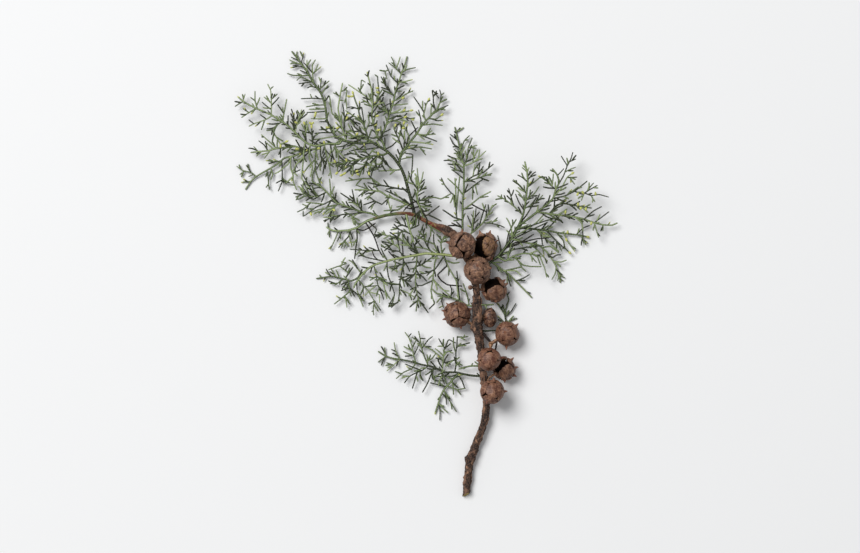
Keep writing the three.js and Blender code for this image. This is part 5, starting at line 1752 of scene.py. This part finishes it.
def all_cones() -> list[Cone]:
    """The cones, with centres, sizes and stalk roots the same as or close to those of the solids."""
    closed, cracked, opened, young = ConeKind.CLOSED, ConeKind.CRACKED, ConeKind.OPEN, ConeKind.YOUNG
    return [
        Cone("cone_top_left", (28.5, 22, 23.6), (10.7, 10.7, 10.7), (31.5, 15, 9), cracked,
             plates=((-7.2, 6.3), (3.7, 1.2), (-5.8, -8), (8, -6.5)),
             points=((-11.5, 2), (8, 2), (-6.2, -7.3), (0, 10.6)),
             cracks=((-1.75, 3.75, 4.6, 1.5), (1.5, -6.5, 4.0, 1.2)), wrinkle=0.026),
        Cone("cone_open_right", (46.8, 20.8, 10), (9.6, 11.4, 9.6), (34.4, 9, 9), opened,
             plates=((3.2, 0.5),),
             points=((-3.5, 10.4), (3.5, 10.4), (8.8, 4.5), (5, -9)),
             hollows=((-6.2, 2.6), (-5.6, -4.4)), golden=1.0, wrinkle=0.055, core_share=0.85,
             stalk_radius=1.6),
        Cone("cone_front", (41, 2, 22.3), (10.7, 10.7, 10.7), (38, 0, 9), closed,
             plates=((-1.5, 1.5), (-3.5, -9), (9.3, 0.5), (-9.8, 2.5), (2.5, 10.2)),
             points=((-2.3, -7.6), (9.6, 1.8), (-0.5, 3.6)),
             cracks=((0.5, 7.2, 1.8, 0.35),), wrinkle=0.03),
        Cone("cone_open_middle", (54, -13, 10), (10, 10, 10), (40, -13, 9.4), opened,
             plates=((2.4, -5.4),),
             points=((9.2, 3.8), (-8, -4), (1, -9), (7.5, 6.3)),
             hollows=((-4.2, 8.2),), wrinkle=0.07, golden=0.12, core_share=0.84, warmth=0.15),
        Cone("cone_left", (25, -33, 10.5), (10.5, 10.5, 10.5), (41, -44, 9.8), cracked,
             plates=((-4.5, 2), (5.5, 3.2), (1.5, -7.2), (-9.5, -4)),
             points=((-8, 8.2), (-11.2, 3), (-10, -3.5), (9.5, 4), (2.5, -9.5)),
             cracks=((-2.5, -5.2, 2.8, 1.5), (0.8, 2.6, 3.0, 0.8), (4.5, -2.5, 2.0, 0.9)), stalk_radius=1.2,
             warmth=0.2),
        # Its wood is painted darker, tone 0.3, as the shade it lies in, low beside the stem.
        Cone("cone_small_shaded", (51, -35.5, 5.6), (5.5, 8, 5.6), (41, -36, 9.9), closed,
             plates=((0, 2.5), (-0.5, -6), (4.6, 0)), points=((1, 6.5), (-3, 0)), wrinkle=0.034, tone=0.3),
        Cone("cone_right", (64.8, -48.5, 9.8), (9.7, 9.7, 9.7), (52, -55.8, 9.4), closed,
             plates=((-1, 0.8), (8, 3.5), (0.5, -9), (-8.8, -2), (-1.5, 9.2)),
             points=((-0.8, -9.9), (7.2, 7), (-6, 5.5), (-2.3, 1.5)),
             cracks=((4, 2.5, 2.0, 0.3),), stalk_radius=1.15, wrinkle=0.034, warmth=0.25),
        Cone("cone_closed_low", (50, -68, 22), (9.2, 9.2, 9.2), (51.6, -55.8, 9.4), closed,
             plates=((-0.5, -1.5), (-8, 5), (8, 4.5), (6.5, -6.8), (-6.5, -7)),
             points=((8.9, 1), (-8.5, -1)), wrinkle=0.018, stalk_radius=1.15, warmth=0.35),
        Cone("cone_open_low", (62, -76, 9.3), (9.3, 9.3, 9.3), (46.2, -86, 7.3), opened,
             plates=((3.6, -4.6),),
             points=((6.5, 7.5), (8.5, -5.5), (0.5, -9), (9.4, 1)),
             hollows=((-5.6, 6.2),), golden=0.12, core_share=0.64, warmth=0.15),
        Cone("cone_bottom", (52.5, -94, 18.6), (9.3, 9.3, 9.3), (48.3, -101, 6.8), closed,
             plates=((1.2, 2.0), (-3.2, -7.6), (8.6, -3.5), (-8.6, 3.0)),
             points=((9.3, 0.4), (-4, -7.5), (1, 9)),
             cracks=((-5.8, -3.6, 2.2, 1.5),), wrinkle=0.03, warmth=0.25),
        Cone("young_cone", (35.3, -11.5, 13), (1.9, 1.9, 1.9), (40, -12, 9.3), young,
             plates=((0.8, 0.4), (-0.9, 0.9), (-0.2, -1.1)), columns=20, face_rows=8, stalk_radius=0.5),
    ]


def main() -> None:
    """Builds every piece in the order in which one carries the next, then the studio."""
    logging.basicConfig(level=logging.INFO, format="%(message)s")
    foliage = FoliageFinish().material()
    stem = WoodyStem(STEM_ROWS, (CONE_TWIG_ROWS, FORK_TWIG_ROWS), STEM_KNOTS, STEM_PATCHES)
    stem.build(BarkFinish().material())
    placed = {"main_stem": stem.limbs}
    for number, spray in enumerate(all_sprays()):
        spray.grow(placed[spray.carrier])
        placed[spray.name] = spray.limbs
        spray.build(foliage, 100 + number)
    wood = ConeFinish().material()
    for number, cone in enumerate(all_cones()):
        cone.build(wood, 200 + number)
    Studio(FloorFinish()).build()


if __name__ == "__main__":
    main()
